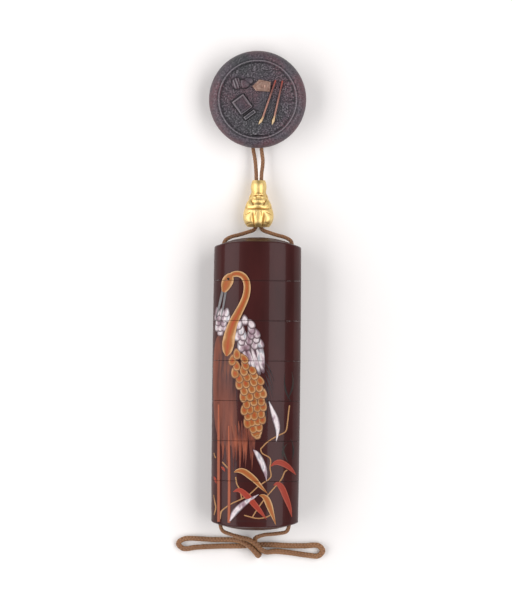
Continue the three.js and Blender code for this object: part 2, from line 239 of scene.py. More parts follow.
route_points = [*STRAND, *BOW, *[other_side(p) for p in reversed(STRAND)]]
cord_line, cord_length = evenly(smooth_curve([np.array(p) * MM for p in route_points]), CORD_STEP)
print("cord length, m:", round(cord_length, 4))

# %% [markdown]
# The silk lies flatter and fuller where it is not pulled tight: in the two ears of the bow and in the knot.
# So each point of the route carries its own thickness, worked out from where it is, and the node tree reads
# it.

# %% How full the cord is along its way
EAR_FULLNESS = [1.42, 1.5]          # left and right ear
KNOT_FULLNESS = 1.4
NECK_FULLNESS = 1.05


def smooth_step(value, low, high):
    """0 below low, 1 above high, and an S-curve between them."""
    t = np.clip((np.asarray(value, float) - low) / (high - low), 0, 1)
    return t * t * (3 - 2 * t)


def cord_fullness(points):
    x, y = points[:, 0] / MM, points[:, 1] / MM
    in_bow = 1 - smooth_step(y, -59.8, -57.2)
    left, right = smooth_step(-x, 3, 9), smooth_step(x, 4, 9)
    bow = KNOT_FULLNESS + (EAR_FULLNESS[0] - KNOT_FULLNESS) * left + (EAR_FULLNESS[1] - KNOT_FULLNESS) * right
    return NECK_FULLNESS + (bow - NECK_FULLNESS) * in_bow


fullness = cord_fullness(cord_line)
line_data = bpy.data.curves.new("cord_line", "CURVE")
line_data.dimensions = "3D"
spline = line_data.splines.new("POLY")
spline.points.add(len(cord_line) - 1)
spline.points.foreach_set("co", np.c_[cord_line, np.ones(len(cord_line))].ravel())
spline.points.foreach_set("radius", fullness)
cord = bpy.data.objects.new("silk_cord", line_data)
scene.collection.objects.link(cord)
print("points along the cord:", len(cord_line))

# %% The braid as a node tree


def braid_tree():
    """Four flat strands winding round the route, and a core inside them."""
    group = bpy.data.node_groups.new("braid", "GeometryNodeTree")
    face = group.interface
    face.new_socket("Geometry", in_out="INPUT", socket_type="NodeSocketGeometry")
    for name, value in [
        ("Pitch", 0.0025), ("Ring Radius", 0.0004), ("Weave Depth", 0.00009),
        ("Strand Half Width", 0.00047), ("Strand Half Thickness", 0.00029), ("Core Radius", 0.00034),
    ]:
        face.new_socket(name, in_out="INPUT", socket_type="NodeSocketFloat").default_value = value
    face.new_socket("Material", in_out="INPUT", socket_type="NodeSocketMaterial")
    face.new_socket("Geometry", in_out="OUTPUT", socket_type="NodeSocketGeometry")

    t = Tree(group)
    start = group.nodes.new("NodeGroupInput").outputs
    full = t.add("GeometryNodeInputRadius")
    upright = t.add("GeometryNodeSetCurveNormal", start["Geometry"], mode="Z_UP")
    copies = t.add("GeometryNodeDuplicateElements", upright, None, 4, domain="SPLINE")
    number = copies.node.outputs["Duplicate Index"]
    along = t.add("GeometryNodeSplineParameter", out=1)

    # Strands 0 and 1 wind one way and 2 and 3 the other. The two of a pair start on opposite sides.
    other_way = t.math("GREATER_THAN", number, 1.5)
    way = t.math("MULTIPLY_ADD", other_way, -2.0, 1.0)
    opposite = t.math("MULTIPLY", t.math("MODULO", number, 2.0), math.pi)
    turns = t.math("MULTIPLY", t.math("DIVIDE", along, start["Pitch"]), 2 * math.pi)
    angle = t.math("ADD", t.math("MULTIPLY_ADD", turns, way, opposite), math.pi / 4)

    # A strand is over where the strands of the other way are under.
    wave = t.math("MULTIPLY", t.math("COSINE", t.math("MULTIPLY", turns, 2.0)), way)
    radius = t.math("MULTIPLY_ADD", wave, start["Weave Depth"], start["Ring Radius"])
    radius = t.math("MULTIPLY", radius, full)

    normal = t.add("GeometryNodeInputNormal")
    tangent = t.add("GeometryNodeInputTangent")
    side = t.vector("CROSS_PRODUCT", tangent, normal)
    outward = t.vector(
        "ADD",
        t.vector("SCALE", normal, t.math("COSINE", angle)),
        t.vector("SCALE", side, t.math("SINE", angle)),
    )
    captured = group.nodes.new("GeometryNodeCaptureAttribute")
    for kind, name, value in [
        ("VECTOR", "Outward", outward), ("FLOAT", "Wave", wave), ("FLOAT", "Along", along),
        ("FLOAT", "Radius", radius), ("FLOAT", "Full", full),
    ]:
        captured.capture_items.new(kind, name)
        t.feed(captured.inputs[name], value)
    t.feed(captured.inputs["Geometry"], copies)
    held = captured.outputs
    offset = t.vector("SCALE", held["Outward"], held["Radius"])
    placed = t.add("GeometryNodeSetPosition", held["Geometry"], None, None, offset)
    placed = t.add("GeometryNodeSetCurveNormal", placed, None, held["Outward"], mode="FREE")

    ring = t.add("GeometryNodeCurvePrimitiveCircle", 7, 1.0, mode="RADIUS")
    shape = t.add("ShaderNodeCombineXYZ", start["Strand Half Thickness"], start["Strand Half Width"], 1.0)
    section = t.add("GeometryNodeTransform", ring, None, None, shape)
    strands = t.add("GeometryNodeCurveToMesh", placed, section, held["Full"])
    for name, value in [("weave", held["Wave"]), ("along", held["Along"]), ("strand", number)]:
        stored = t.add("GeometryNodeStoreNamedAttribute", strands, None, name, value, domain="POINT")
        strands = stored

    core_ring = t.add("GeometryNodeCurvePrimitiveCircle", 6, start["Core Radius"], mode="RADIUS")
    core = t.add("GeometryNodeCurveToMesh", upright, core_ring, full)
    # The core is stored with the lowest weave height, so the silk material paints it darkest, as painted
    # shade inside the braid.
    core = t.add("GeometryNodeStoreNamedAttribute", core, None, "weave", -1.5, domain="POINT")

    joined = group.nodes.new("GeometryNodeJoinGeometry")
    group.links.new(strands, joined.inputs[0])
    group.links.new(core, joined.inputs[0])
    real = t.add("GeometryNodeRealizeInstances", joined.outputs[0])
    smooth = t.add("GeometryNodeSetShadeSmooth", real)
    made = t.add("GeometryNodeSetMaterial", smooth, None, start["Material"])
    t.feed(group.nodes.new("NodeGroupOutput").inputs[0], made)
    return group


def socket_id(group, name):
    """The identifier of a named input, which is what a modifier is set by."""
    return next(
        item.identifier for item in group.interface.items_tree
        if item.item_type == "SOCKET" and item.in_out == "INPUT" and item.name == name
    )


braid = braid_tree()
weave = cord.modifiers.new("braid", "NODES")
weave.node_group = braid

# %% [markdown]
# ### Silk
#
# The silk is a warm brown. Light and shade are painted into its colour: a strand is painted lighter where it
# comes over its neighbours and darker where it dives under. Each one is a bundle of fine threads that shine
# along their length. The weave height and the distance along the strand come from the braid as attributes,
# so the pattern follows every bend.

# %% The silk


def new_material(name, **values):
    """A material with one Principled BSDF, and its plain values set on the shader's own sockets."""
    material = bpy.data.materials.new(name)
    material.use_nodes = True
    shader = next(n for n in material.node_tree.nodes if n.type == "BSDF_PRINCIPLED")
    for key, value in values.items():
        shader.inputs[key.replace("_", " ").title().replace("Ior", "IOR")].default_value = value
    return material, Tree(material.node_tree), shader


def ramp(t, value, stops, interpolation="LINEAR"):
    """A colour ramp from (place, colour) stops."""
    node = t.add("ShaderNodeValToRGB", value).node
    node.color_ramp.interpolation = interpolation
    elements = node.color_ramp.elements
    while len(elements) < len(stops):
        elements.new(0.5)
    for element, (place, colour) in zip(elements, stops):
        element.position = place
        element.color = (*colour, 1)
    return node.outputs[0]


def attribute(t, name, out="Fac"):
    node = t.tree.nodes.new("ShaderNodeAttribute")
    node.attribute_name = name
    return node.outputs[out]


def noise_at(t, place, scale, detail=2.0, roughness=0.5, out=0):
    node = t.tree.nodes.new("ShaderNodeTexNoise")
    t.feed(node.inputs["Vector"], place)
    node.inputs["Scale"].default_value = scale
    node.inputs["Detail"].default_value = detail
    node.inputs["Roughness"].default_value = roughness
    return node.outputs[out]


def object_place(t):
    return t.add("ShaderNodeTexCoord", out=3)


def mixed(t, amount, one, other, blend="MIX"):
    """Two colours mixed; amount is a number or a socket."""
    return t.add("ShaderNodeMix", amount, one, other, data_type="RGBA", blend_type=blend, out=2)


def silk_material():
    material, t, shader = new_material("silk", roughness=0.55, sheen_weight=0.35, sheen_roughness=0.4)
    shader.inputs["Sheen Tint"].default_value = (0.9, 0.6, 0.35, 1)
    weave_height = attribute(t, "weave")
    along = attribute(t, "along")
    strand = attribute(t, "strand")
    # Painted light and shade: the weave height makes a strand lighter where it is over and darker where it is
    # under.
    colour = ramp(t, t.math("MULTIPLY_ADD", weave_height, 0.4, 0.5), [
        (0.0, (0.05, 0.02, 0.008)), (0.35, (0.15, 0.062, 0.023)), (1.0, (0.3, 0.15, 0.062)),
    ])
    # Slow changes of tone along the cord, as from handling and dye.
    tone = noise_at(t, object_place(t), 90.0, detail=3.0)
    t.feed(shader.inputs["Base Color"], mixed(
        t, 1.0, colour, ramp(t, tone, [(0.3, (0.8, 0.72, 0.66)), (0.7, (1.15, 1.12, 1.1))]), "MULTIPLY",
    ))
    # The threads in a strand: fine lines along it.
    fibre = t.add("ShaderNodeCombineXYZ", t.math("MULTIPLY", along, 350.0), strand, 0.0)
    threads = noise_at(t, fibre, 6.0, detail=3.0)
    bump = t.add("ShaderNodeBump", 0.35, 0.00003)
    t.feed(bump.node.inputs["Height"], threads)
    t.feed(shader.inputs["Normal"], bump)
    return material


weave[socket_id(braid, "Material")] = silk_material()
cord = made_mesh(cord)
settle(cord, "cord", "cord")

# %% [markdown]
# ## The table and the light
#
# The table is plain and pale. Polished lacquer has almost no look of its own: what is seen on it is the
# studio. Two long soft lights stand on the left and on the right. Each leaves one broad soft band along the
# rounded case, and the dark ceiling between them leaves the deep red-brown strip along its middle. Both
# also fill each other's shadows, so the shadows on the table are pale.

# %% The table


def table_material():
    material, t, shader = new_material("table", roughness=0.9)
    shader.inputs["Specular IOR Level"].default_value = 0.2
    place = object_place(t)
    tone = noise_at(t, place, 14.0, detail=4.0)
    pale = ramp(t, tone, [(0.3, (0.83, 0.805, 0.77)), (0.7, (0.85, 0.83, 0.795))])
    t.feed(shader.inputs["Base Color"], pale)
    return material


TABLE_HALF = 1.5
table_object = new_object(
    "table", [(sx * TABLE_HALF, sy * TABLE_HALF, 0) for sx, sy in ((-1, -1), (1, -1), (1, 1), (-1, 1))],
    [(0, 1, 2, 3)], table_material(),
)

# %% The lights


def soft_light(name, lean, distance, size, watts, colour, turn=90):
    """An area light aimed at the case. lean is its angle from straight above, towards +X."""
    data = bpy.data.lights.new(name, "AREA")
    data.shape = "RECTANGLE"
    data.size, data.size_y = size
    data.energy = watts
    data.color = colour
    light = bpy.data.objects.new(name, data)
    angle = math.radians(lean)
    light.location = Vector((math.sin(angle), 0, math.cos(angle))) * distance + Vector((0, 0.02, 0))
    light.rotation_euler = (0, angle, 0)
    scene.collection.objects.link(light)
    return light


soft_light("left_light", -54, 1.3, (0.95, 2.2), 22, (0.98, 0.97, 1.0))
soft_light("right_light", 39, 1.3, (0.85, 2.2), 20, (0.98, 0.97, 1.0))

world = bpy.data.worlds.new("studio")
scene.world = world
world.use_nodes = True
background = world.node_tree.nodes["Background"]
background.inputs["Color"].default_value = (0.95, 0.95, 1.0, 1)
background.inputs["Strength"].default_value = 0.22
scene.view_settings.view_transform = "Standard"

# %% [markdown]
# ## The case
#
# Seven pieces: a lid, five compartments and a base. The core of each is thin wood or paper, hollow, with a
# lip that fits into the piece above. Many coats of lacquer round every edge a little.
#
# The outside is one oval body, slightly slimmer at its ends, with domed ends that sink towards the rim.
# Each piece is lofted: rings of points, from the middle of its floor, up the inside, over the lip, down the
# outside and back to the middle of its under side. A lofted piece keeps its walls, and its edges are
# rounded by a few close rings. The cord's two channels are then drilled through it.

# %% The sizes of the case
HALF_LENGTH = 55.7 * MM
HALF_WIDTH = 16.75 * MM
HALF_DEPTH = 11.0 * MM
AXIS_HEIGHT = 10.7 * MM
SLIMMING = 0.28 / 16.75             # of the half width, at the ends
LID_DROP = (1.7 * MM, 2.15 * MM)    # the rim below the crown in front, and how much more at the sides
BASE_DROP = (1.35 * MM, 1.85 * MM)
RIM_SWEEP = 3.3
DOME_FULLNESS = 2.2
SEAM_GAP = 0.05 * MM             # between the polished faces: the boxes close tight
FIRST_SEAM = 39.2 * MM
COMPARTMENT_PITCH = 15.22 * MM
COMPARTMENTS = 5
SEAMS = [FIRST_SEAM - i * COMPARTMENT_PITCH for i in range(COMPARTMENTS + 1)]

INSIDE_HALF = (10.4 * MM, 8.6 * MM)
RISER_HALF = (11.1 * MM, 9.3 * MM)
RECESS_HALF = (11.4 * MM, 9.6 * MM)
RISER_HEIGHT = 4.0 * MM
RECESS_DEPTH = 4.3 * MM
FLOOR = 1.2 * MM
LID_ROOF = 52.7 * MM
BASE_FLOOR = -53.0 * MM
CASE_SIDES = 176

# %% Rings of points

TURNS = np.linspace(0, 2 * math.pi, CASE_SIDES, endpoint=False)


def slimmed(y):
    return 1 - SLIMMING * (y / HALF_LENGTH) ** 2


def outer_ring(y, inset=0.0):
    """A ring of the outside at height y, which may differ round the ring. Its back is cut flat."""
    y = np.broadcast_to(y, TURNS.shape)
    x = (HALF_WIDTH - inset) * slimmed(y) * np.cos(TURNS)
    z = AXIS_HEIGHT + (HALF_DEPTH - inset) * slimmed(y) * np.sin(TURNS)
    return np.stack([x, y, np.maximum(z, 0)], axis=1)


def inner_ring(half, y, inset=0.0):
    """A squarish oval ring at height y, for lips and hollows."""
    c, s = np.cos(TURNS), np.sin(TURNS)
    x = (half[0] - inset) * np.sign(c) * np.abs(c) ** (2 / 3)
    z = AXIS_HEIGHT + (half[1] - inset) * np.sign(s) * np.abs(s) ** (2 / 3)
    return np.stack([x, np.full_like(x, y), z], axis=1)


def dome_height(end, radius):
    """Height of a domed end at a share of the full radius: end is 1 for the lid and -1 for the base."""
    front, sides = LID_DROP if end > 0 else BASE_DROP
    drop = front + sides * np.abs(np.cos(TURNS)) ** RIM_SWEEP
    return end * (HALF_LENGTH - drop * radius**DOME_FULLNESS)


def rounded(start, corner, end, steps=4):
    """The rings of a rounded edge, on a curve that leaves start towards corner and arrives at end."""
    return [
        start * (1 - t) ** 2 + corner * 2 * t * (1 - t) + end * t**2 for t in np.linspace(0, 1, steps + 1)
    ]


SEAM_ROUNDING = 0.13 * MM
RIM_ROUNDING = 0.5 * MM
LIP_ROUNDING = 0.2 * MM


def seam_edge(y, into):
    """From the wall to the flat face of a seam. into is 1 where the piece lies above the seam."""
    return rounded(
        outer_ring(y + into * SEAM_ROUNDING), outer_ring(y), outer_ring(y, SEAM_ROUNDING),
    )


def domed_end(end):
    """From the middle of a domed end to its rim, and over the rim to the wall."""
    share = 1 - RIM_ROUNDING / HALF_DEPTH
    rings = []
    for radius in (0.12, 0.25, 0.4, 0.55, 0.68, 0.8, 0.89):
        ring = outer_ring(dome_height(end, radius))
        ring[:, 0] *= radius
        ring[:, 2] = AXIS_HEIGHT + (ring[:, 2] - AXIS_HEIGHT) * radius
        rings.append(ring)
    rim = dome_height(end, 1.0)
    inner = outer_ring(dome_height(end, share), RIM_ROUNDING)
    return rings + rounded(inner, outer_ring(rim), outer_ring(rim - end * RIM_ROUNDING), 5)


def lip_rings(y):
    """A lip, from the hollow over its top and down its outside to the seam face at y."""
    top = y + RISER_HEIGHT
    return [
        *rounded(inner_ring(INSIDE_HALF, top - LIP_ROUNDING), inner_ring(INSIDE_HALF, top),
                 inner_ring(INSIDE_HALF, top, -LIP_ROUNDING), 2),
        *rounded(inner_ring(RISER_HALF, top, LIP_ROUNDING), inner_ring(RISER_HALF, top),
                 inner_ring(RISER_HALF, top - LIP_ROUNDING), 2),
        inner_ring(RISER_HALF, y),
    ]


def loft(name, rings):
    """A closed mesh through the rings, with a point in the middle of its first and last ring."""
    count = len(rings[0])
    points = [rings[0].mean(axis=0), *np.concatenate(rings), rings[-1].mean(axis=0)]
    faces = []
    for i in range(count):
        j = (i + 1) % count
        faces.append((0, 1 + i, 1 + j))
        for row in range(len(rings) - 1):
            a, b = 1 + row * count, 1 + (row + 1) * count
            faces.append((a + i, b + i, b + j, a + j))
        last = 1 + (len(rings) - 1) * count
        faces.append((last + i, len(points) - 1, last + j))
    obj = new_object(name, points, faces)
    mesh = bmesh.new()
    mesh.from_mesh(obj.data)
    bmesh.ops.remove_doubles(mesh, verts=mesh.verts, dist=1e-7)
    bmesh.ops.recalc_face_normals(mesh, faces=mesh.faces)
    mesh.to_mesh(obj.data)
    mesh.free()
    return obj


def section_rings(low, high):
    """The rings of one piece between two seams. The lid has no upper seam and the base no lower one."""
    rings = []
    if high is None:
        rings += domed_end(1)
    else:
        floor = BASE_FLOOR if low is None else low + RECESS_DEPTH + FLOOR
        hollow = [inner_ring(INSIDE_HALF, floor, 0.6 * MM), inner_ring(INSIDE_HALF, floor + 0.6 * MM)]
        rings += [hollow[0], hollow[1], *lip_rings(high), *reversed(seam_edge(high, -1))]
    top = HALF_LENGTH - sum(LID_DROP) if high is None else high
    bottom = -HALF_LENGTH + sum(BASE_DROP) if low is None else low
    rings += [outer_ring(y) for y in np.linspace(top - 1 * MM, bottom + 1 * MM, 5)]
    if low is None:
        return rings + domed_end(-1)[::-1]
    rings += [*seam_edge(low, 1), inner_ring(RECESS_HALF, low), inner_ring(RECESS_HALF, low + RECESS_DEPTH)]
    if high is None:
        rings += [inner_ring(INSIDE_HALF, low + RECESS_DEPTH), inner_ring(INSIDE_HALF, LID_ROOF)]
    return rings


# %% The channels for the cord
CHANNEL_X = 13.0 * MM
CHANNEL_RADIUS = 1.2 * MM
MOUTH_RADIUS = 2.3 * MM
MOUTH_NECK = 51.0 * MM
MOUTH_TOP = 54.0 * MM
DRILL_END = 60.0 * MM
DRILL_SIDES = 32


def drill(x):
    """The shape drilled away for one channel: a long rod that flares at both domed ends."""
    profile = [
        (-DRILL_END, MOUTH_RADIUS), (-MOUTH_TOP, MOUTH_RADIUS), (-MOUTH_NECK, CHANNEL_RADIUS),
        (MOUTH_NECK, CHANNEL_RADIUS), (MOUTH_TOP, MOUTH_RADIUS), (DRILL_END, MOUTH_RADIUS),
    ]
    turns = np.linspace(0, 2 * math.pi, DRILL_SIDES, endpoint=False)
    rings = [
        np.stack([x + r * np.cos(turns), np.full(DRILL_SIDES, y), AXIS_HEIGHT + r * np.sin(turns)], axis=1)
        for y, r in profile
    ]
    return loft("drill", rings)


def drilled(obj, drills):
    for number, tool in enumerate(drills):
        cut = obj.modifiers.new(f"channel_{number}", "BOOLEAN")
        cut.object = tool
        cut.operation = "DIFFERENCE"
        cut.solver = "MANIFOLD"
    return made_mesh(obj)

# %% [markdown]
# ### Lacquer
#
# The ground is a very dark red-brown lacquer. It is painted as two layers: a deep, slightly cloudy colour
# below, and a thin clear coat above. The coat is kept faint, so the long lights show in it only as soft
# bands. Along the seams, where fingers have opened the case for two centuries, the polish is duller and
# darker.

# %% The lacquer


def worn_edges_group():
    """A mask that is 1 at the seams and 0 away from them, broken up by noise."""
    group = bpy.data.node_groups.new("worn_edges", "ShaderNodeTree")
    face = group.interface
    for name, kind, value in [
        ("Place", "NodeSocketVector", None), ("Width", "NodeSocketFloat", 0.0006),
    ]:
        socket = face.new_socket(name, in_out="INPUT", socket_type=kind)
        if value is not None:
            socket.default_value = value
    face.new_socket("Mask", in_out="OUTPUT", socket_type="NodeSocketFloat")
    t = Tree(group)
    start = group.nodes.new("NodeGroupInput").outputs
    y = t.add("ShaderNodeSeparateXYZ", start["Place"], out=1)
    from_seam = t.math("PINGPONG", t.math("SUBTRACT", y, FIRST_SEAM), COMPARTMENT_PITCH / 2)
    near = t.math("SUBTRACT", 1.0, t.math("DIVIDE", from_seam, start["Width"]))
    near.node.use_clamp = True
    broken = noise_at(t, start["Place"], 700.0, detail=3.0)
    t.feed(group.nodes.new("NodeGroupOutput").inputs[0], t.math("MULTIPLY", near, broken))
    return group


def placed_group(t, group, *inputs):
    node = t.tree.nodes.new("ShaderNodeGroup")
    node.node_tree = group
    for socket, value in zip(node.inputs, inputs):
        t.feed(socket, value)
    return node.outputs


worn_edges = worn_edges_group()


def lacquer_material():
    material, t, shader = new_material(
        "dark_lacquer", roughness=0.3, specular_ior_level=0.08, coat_weight=0.17, coat_roughness=0.05,
    )
    place = object_place(t)
    stretched = t.vector("MULTIPLY", place, (1.0, 0.35, 1.0))
    cloud = noise_at(t, stretched, 130.0, detail=4.0)
    ground = ramp(t, cloud, [(0.3, (0.034, 0.0085, 0.0078)), (0.7, (0.050, 0.0118, 0.0108))])
    worn = placed_group(t, worn_edges, place, 0.0005)["Mask"]
    t.feed(shader.inputs["Base Color"], mixed(t, worn, ground, (0.035, 0.014, 0.013, 1)))
    t.feed(shader.inputs["Roughness"], t.math("MULTIPLY_ADD", worn, 0.4, 0.3))
    # The polish follows the faint unevenness of the many coats below it.
    waves = noise_at(t, stretched, 260.0, detail=2.0)
    bump = t.add("ShaderNodeBump", 0.12, 0.00002)
    t.feed(bump.node.inputs["Height"], waves)
    t.feed(shader.inputs["Normal"], bump)
    t.feed(shader.inputs["Coat Normal"], bump)
    return material


dark_lacquer = lacquer_material()

# %% The seven pieces
channel_drills = [drill(-CHANNEL_X), drill(CHANNEL_X)]


def case_piece(name, low, high):
    piece = drilled(loft(f"lacquer_{name}", section_rings(low, high)), channel_drills)
    piece.data.materials.clear()
    piece.data.materials.append(dark_lacquer)
    shade(piece, 40)
    settle(piece, "lacquer", name)


half_gap = SEAM_GAP / 2
case_piece("lid", SEAMS[0] + half_gap, None)
for number, (upper, lower) in enumerate(zip(SEAMS, SEAMS[1:]), 1):
    case_piece(f"case_{number}", lower + half_gap, upper - half_gap)
case_piece("base_case", None, SEAMS[-1] - half_gap)
for tool in channel_drills:
    bpy.data.objects.remove(tool)

# %% [markdown]
# ## The picture on the case
#
# A heron stands among reeds. On the real case such a picture is not a print: it is laid in raised lacquer,
# gold powder and cut shell, a fraction of a millimetre high, and every shape runs over the joints and is
# cut through at each of them. It could be a painted texture. It is made here as thin solid inlays instead,
# because then the light runs along their edges and the shapes stay sharp from any distance.
#
# The work goes in three steps. First each shape is drawn flat, as seen from the front, with its height as
# the third coordinate. Then a set of thin blades cuts it at the seams. Last, its points are laid on the
# curved wall.

# %% Laying flat shapes on the curved wall
PICTURE_LIMIT = 0.92                # share of the half width past which a shape runs on round the side


def on_case(points):
    """Flat points (x, y, lift) in metres, laid on the front of the case."""
    x, y, lift = points.T
    a, b = HALF_WIDTH * slimmed(y), HALF_DEPTH * slimmed(y)
    share = np.clip(x / a, -PICTURE_LIMIT, PICTURE_LIMIT)
    turn = np.arcsin(share)
    speed = np.hypot(a * np.cos(turn), b * np.sin(turn))
    turn = turn + (x - share * a) / speed
    normal = np.stack([np.sin(turn) / a, np.zeros_like(turn), np.cos(turn) / b])
    normal /= np.linalg.norm(normal, axis=0)
    return (np.stack([a * np.sin(turn), y, AXIS_HEIGHT + b * np.cos(turn)]) + normal * lift).T


SEAM_CUT = 0.16 * MM
BLADE_HALF_WIDTH = 30 * MM
BLADE_HEIGHTS = (-2 * MM, 4 * MM)   # well past both faces of every inlay
BLADE_FACES = [(3, 2, 1, 0), (4, 5, 6, 7), (0, 1, 5, 4), (1, 2, 6, 5), (2, 3, 7, 6), (3, 0, 4, 7)]


def seam_blades():
    """Thin blocks at the seams, which cut a flat shape through."""
    points, faces = [], []
    for seam in SEAMS:
        first = len(points)
        for z in BLADE_HEIGHTS:
            for x, y in ((-1, -1), (1, -1), (1, 1), (-1, 1)):
                points.append((x * BLADE_HALF_WIDTH, seam + y * SEAM_CUT / 2, z))
        faces += [[first + k for k in face] for face in BLADE_FACES]
    return new_object("blades", points, faces)


blades = seam_blades()


def lay(obj, slot_name, sharp=45):
    """Cuts a flat piece of the picture at the seams, lays it on the case and settles it."""
    cut = obj.modifiers.new("seams", "BOOLEAN")
    cut.object = blades
    cut.operation = "DIFFERENCE"
    cut.solver = "MANIFOLD"
    obj = made_mesh(obj)
    obj.data.vertices.foreach_set("co", on_case(points_of(obj)).ravel())
    obj.data.update()
    shade(obj, sharp)
    settle(obj, slot_name)
    return obj


# %% [markdown]
# ### Strokes
#
# Necks, leaves, stems, feathers and legs are all the same kind of shape: a line with a width that changes
# along it. A stroke is given by a few points (x, y, width) in millimetres. It becomes a low solid with a
# rounded back. Its UV map says how far across (U) and how far along (V) each point is, so that a colour can
# follow it.

# %% Strokes
UNDER = -0.03                       # millimetres: every inlay reaches a little into the ground


class Inlay:
    """Collects strokes and patches into one flat mesh, with a UV map."""

    def __init__(self):
        self.points, self.faces, self.uv = [], [], []

    def sheet(self, top, uv):
        """A closed thin solid from a grid of top points (rows, columns, 3) in millimetres."""
        rows, columns = top.shape[:2]
        bottom = top.copy()
        bottom[..., 2] = UNDER
        first = len(self.points)
        count = rows * columns
        self.points += [*top.reshape(-1, 3), *bottom.reshape(-1, 3)]
        flat_uv = uv.reshape(-1, 2)

        def face(*corners):
            self.faces.append([first + c for c in corners])
            self.uv += [flat_uv[c % count] for c in corners]

        for i in range(rows - 1):
            for j in range(columns - 1):
                a, b = i * columns + j, i * columns + j + 1
                c, d = b + columns, a + columns
                face(a, b, c, d)
                face(count + d, count + c, count + b, count + a)
        edge = list(range(columns))
        edge += [i * columns + columns - 1 for i in range(1, rows)]
        edge += [(rows - 1) * columns + j for j in range(columns - 2, -1, -1)]
        edge += [i * columns for i in range(rows - 2, 0, -1)]
        for a, b in zip(edge, edge[1:] + edge[:1]):
            face(count + a, count + b, b, a)

    def stroke(self, line, lift, crown=0.08, across=6, step=0.4):
        """A stroke along (x, y, width) points, standing up by lift, with a rounded back."""
        line = smooth_curve([np.array(p, float) for p in line], 12)
        line, _ = evenly(line, step)
        if len(line) < 4:
            line = line[np.linspace(0, len(line) - 1, 4).astype(int)]
        way = np.gradient(line[:, :2], axis=0)
        way /= np.linalg.norm(way, axis=1)[:, None]
        side = np.stack([-way[:, 1], way[:, 0]], axis=1)
        width = np.maximum(line[:, 2], 0.05)
        u = np.linspace(-1, 1, across + 1)
        top = np.zeros((len(line), across + 1, 3))
        top[..., :2] = line[:, None, :2] + side[:, None, :] * (u[None, :, None] * width[:, None, None] / 2)
        top[..., 2] = lift + crown * (1 - u**2)[None, :]
        v = np.linspace(0, 1, len(line))
        uv = np.stack(np.broadcast_arrays((u[None, :] + 1) / 2, v[:, None]), axis=-1)
        self.sheet(top[:, ::-1], uv[:, ::-1])
        return self

    def leaf(self, base, tip, width, bend=0.0, lift=0.14, fullest=0.4, **settings):
        """A pointed leaf from base to tip. bend pushes its middle sideways by a share of its length."""
        base, tip = np.array(base, float), np.array(tip, float)
        way = tip - base
        side = np.array([-way[1], way[0]])
        line = []
        for t in np.linspace(0, 1, 9):
            wide = (t / fullest) ** 0.7 if t < fullest else ((1 - t) / (1 - fullest)) ** 0.85
            place = base + way * t + side * bend * 4 * t * (1 - t)
            line.append((*place, max(width * wide, 0.08)))
        return self.stroke(line, lift, **settings)

    def made(self, name, material):
        obj = new_object(name, np.array(self.points) * MM, self.faces, material)
        layer = obj.data.uv_layers.new(name="UVMap")
        layer.data.foreach_set("uv", np.array(self.uv).ravel())
        return obj

# %% [markdown]
# ### Gold, red and shell
#
# Gold powder is dusted on wet lacquer: thick at the edges of a shape, where it is nearly cream, and thin in
# the middle, where the orange-red ground shows through. Both gold and red shapes use that effect, so it is
# a node group: it reads the UV map of the stroke and mixes three colours from its edge to its middle.

# %% Finishes of the picture


def dusted_group():
    """Colour from the edge of a stroke to its middle, broken up by fine powder."""
    group = bpy.data.node_groups.new("dusted", "ShaderNodeTree")
    face = group.interface
    face.new_socket("UV", in_out="INPUT", socket_type="NodeSocketVector")
    face.new_socket("Place", in_out="INPUT", socket_type="NodeSocketVector")
    for name, colour in [
        ("Edge", (0.95, 0.72, 0.42, 1)), ("Body", (0.7, 0.33, 0.07, 1)), ("Middle", (0.5, 0.1, 0.03, 1)),
    ]:
        face.new_socket(name, in_out="INPUT", socket_type="NodeSocketColor").default_value = colour
    face.new_socket("Thinness", in_out="INPUT", socket_type="NodeSocketFloat").default_value = 0.5
    face.new_socket("Color", in_out="OUTPUT", socket_type="NodeSocketColor")
    face.new_socket("Powder", in_out="OUTPUT", socket_type="NodeSocketFloat")
    t = Tree(group)
    start = group.nodes.new("NodeGroupInput").outputs
    u = t.add("ShaderNodeSeparateXYZ", start["UV"], out=0)
    outward = t.math("ABSOLUTE", t.math("MULTIPLY_ADD", u, 2.0, -1.0))
    broad = noise_at(t, start["Place"], 260.0, detail=3.0)
    wander = t.math("MULTIPLY_ADD", broad, 0.7, -0.35)
    place = t.math("ADD", outward, wander)
    at_edge = t.add("ShaderNodeMapRange", place, 0.55, 0.9)
    at_middle = t.add("ShaderNodeMapRange", place, 0.0, 0.5, 1.0, 0.0)
    powder = noise_at(t, start["Place"], 3000.0, detail=2.0)
    middle = mixed(t, t.math("MULTIPLY", at_middle, start["Thinness"]), start["Body"], start["Middle"])
    colour = mixed(t, at_edge, middle, start["Edge"])
    speckled = mixed(t, t.math("MULTIPLY", powder, 0.35), colour, start["Middle"])
    end = group.nodes.new("NodeGroupOutput").inputs
    t.feed(end["Color"], speckled)
    t.feed(end["Powder"], powder)
    return group


dusted = dusted_group()


def from_middle(t):
    """0 along the middle of a stroke or feather, 1 at its edge."""
    uv = t.add("ShaderNodeUVMap")
    uv.node.uv_map = "UVMap"
    u = t.add("ShaderNodeSeparateXYZ", uv, out=0)
    return uv, t.math("ABSOLUTE", t.math("MULTIPLY_ADD", u, 2.0, -1.0))


def dusted_material(name, edge, body, middle, thinness, metallic=0.08, roughness=0.5, rim=0.0):
    material, t, shader = new_material(name, metallic=metallic, roughness=roughness, specular_ior_level=0.2)
    uv, outward = from_middle(t)
    group = placed_group(t, dusted, uv, object_place(t), (*edge, 1), (*body, 1), (*middle, 1), thinness)
    # Painted shade: where rim is above 0, the outer edge of the stroke or feather is mixed to near black, as
    # the shade along its raised edge.
    dark = t.add("ShaderNodeMapRange", outward, 0.76, 0.88, 0.0, rim)
    t.feed(shader.inputs["Base Color"], mixed(t, dark, group["Color"], (0.10, 0.03, 0.015, 1)))
    bump = t.add("ShaderNodeBump", 0.25, 0.00002)
    t.feed(bump.node.inputs["Height"], group["Powder"])
    t.feed(shader.inputs["Normal"], bump)
    return material


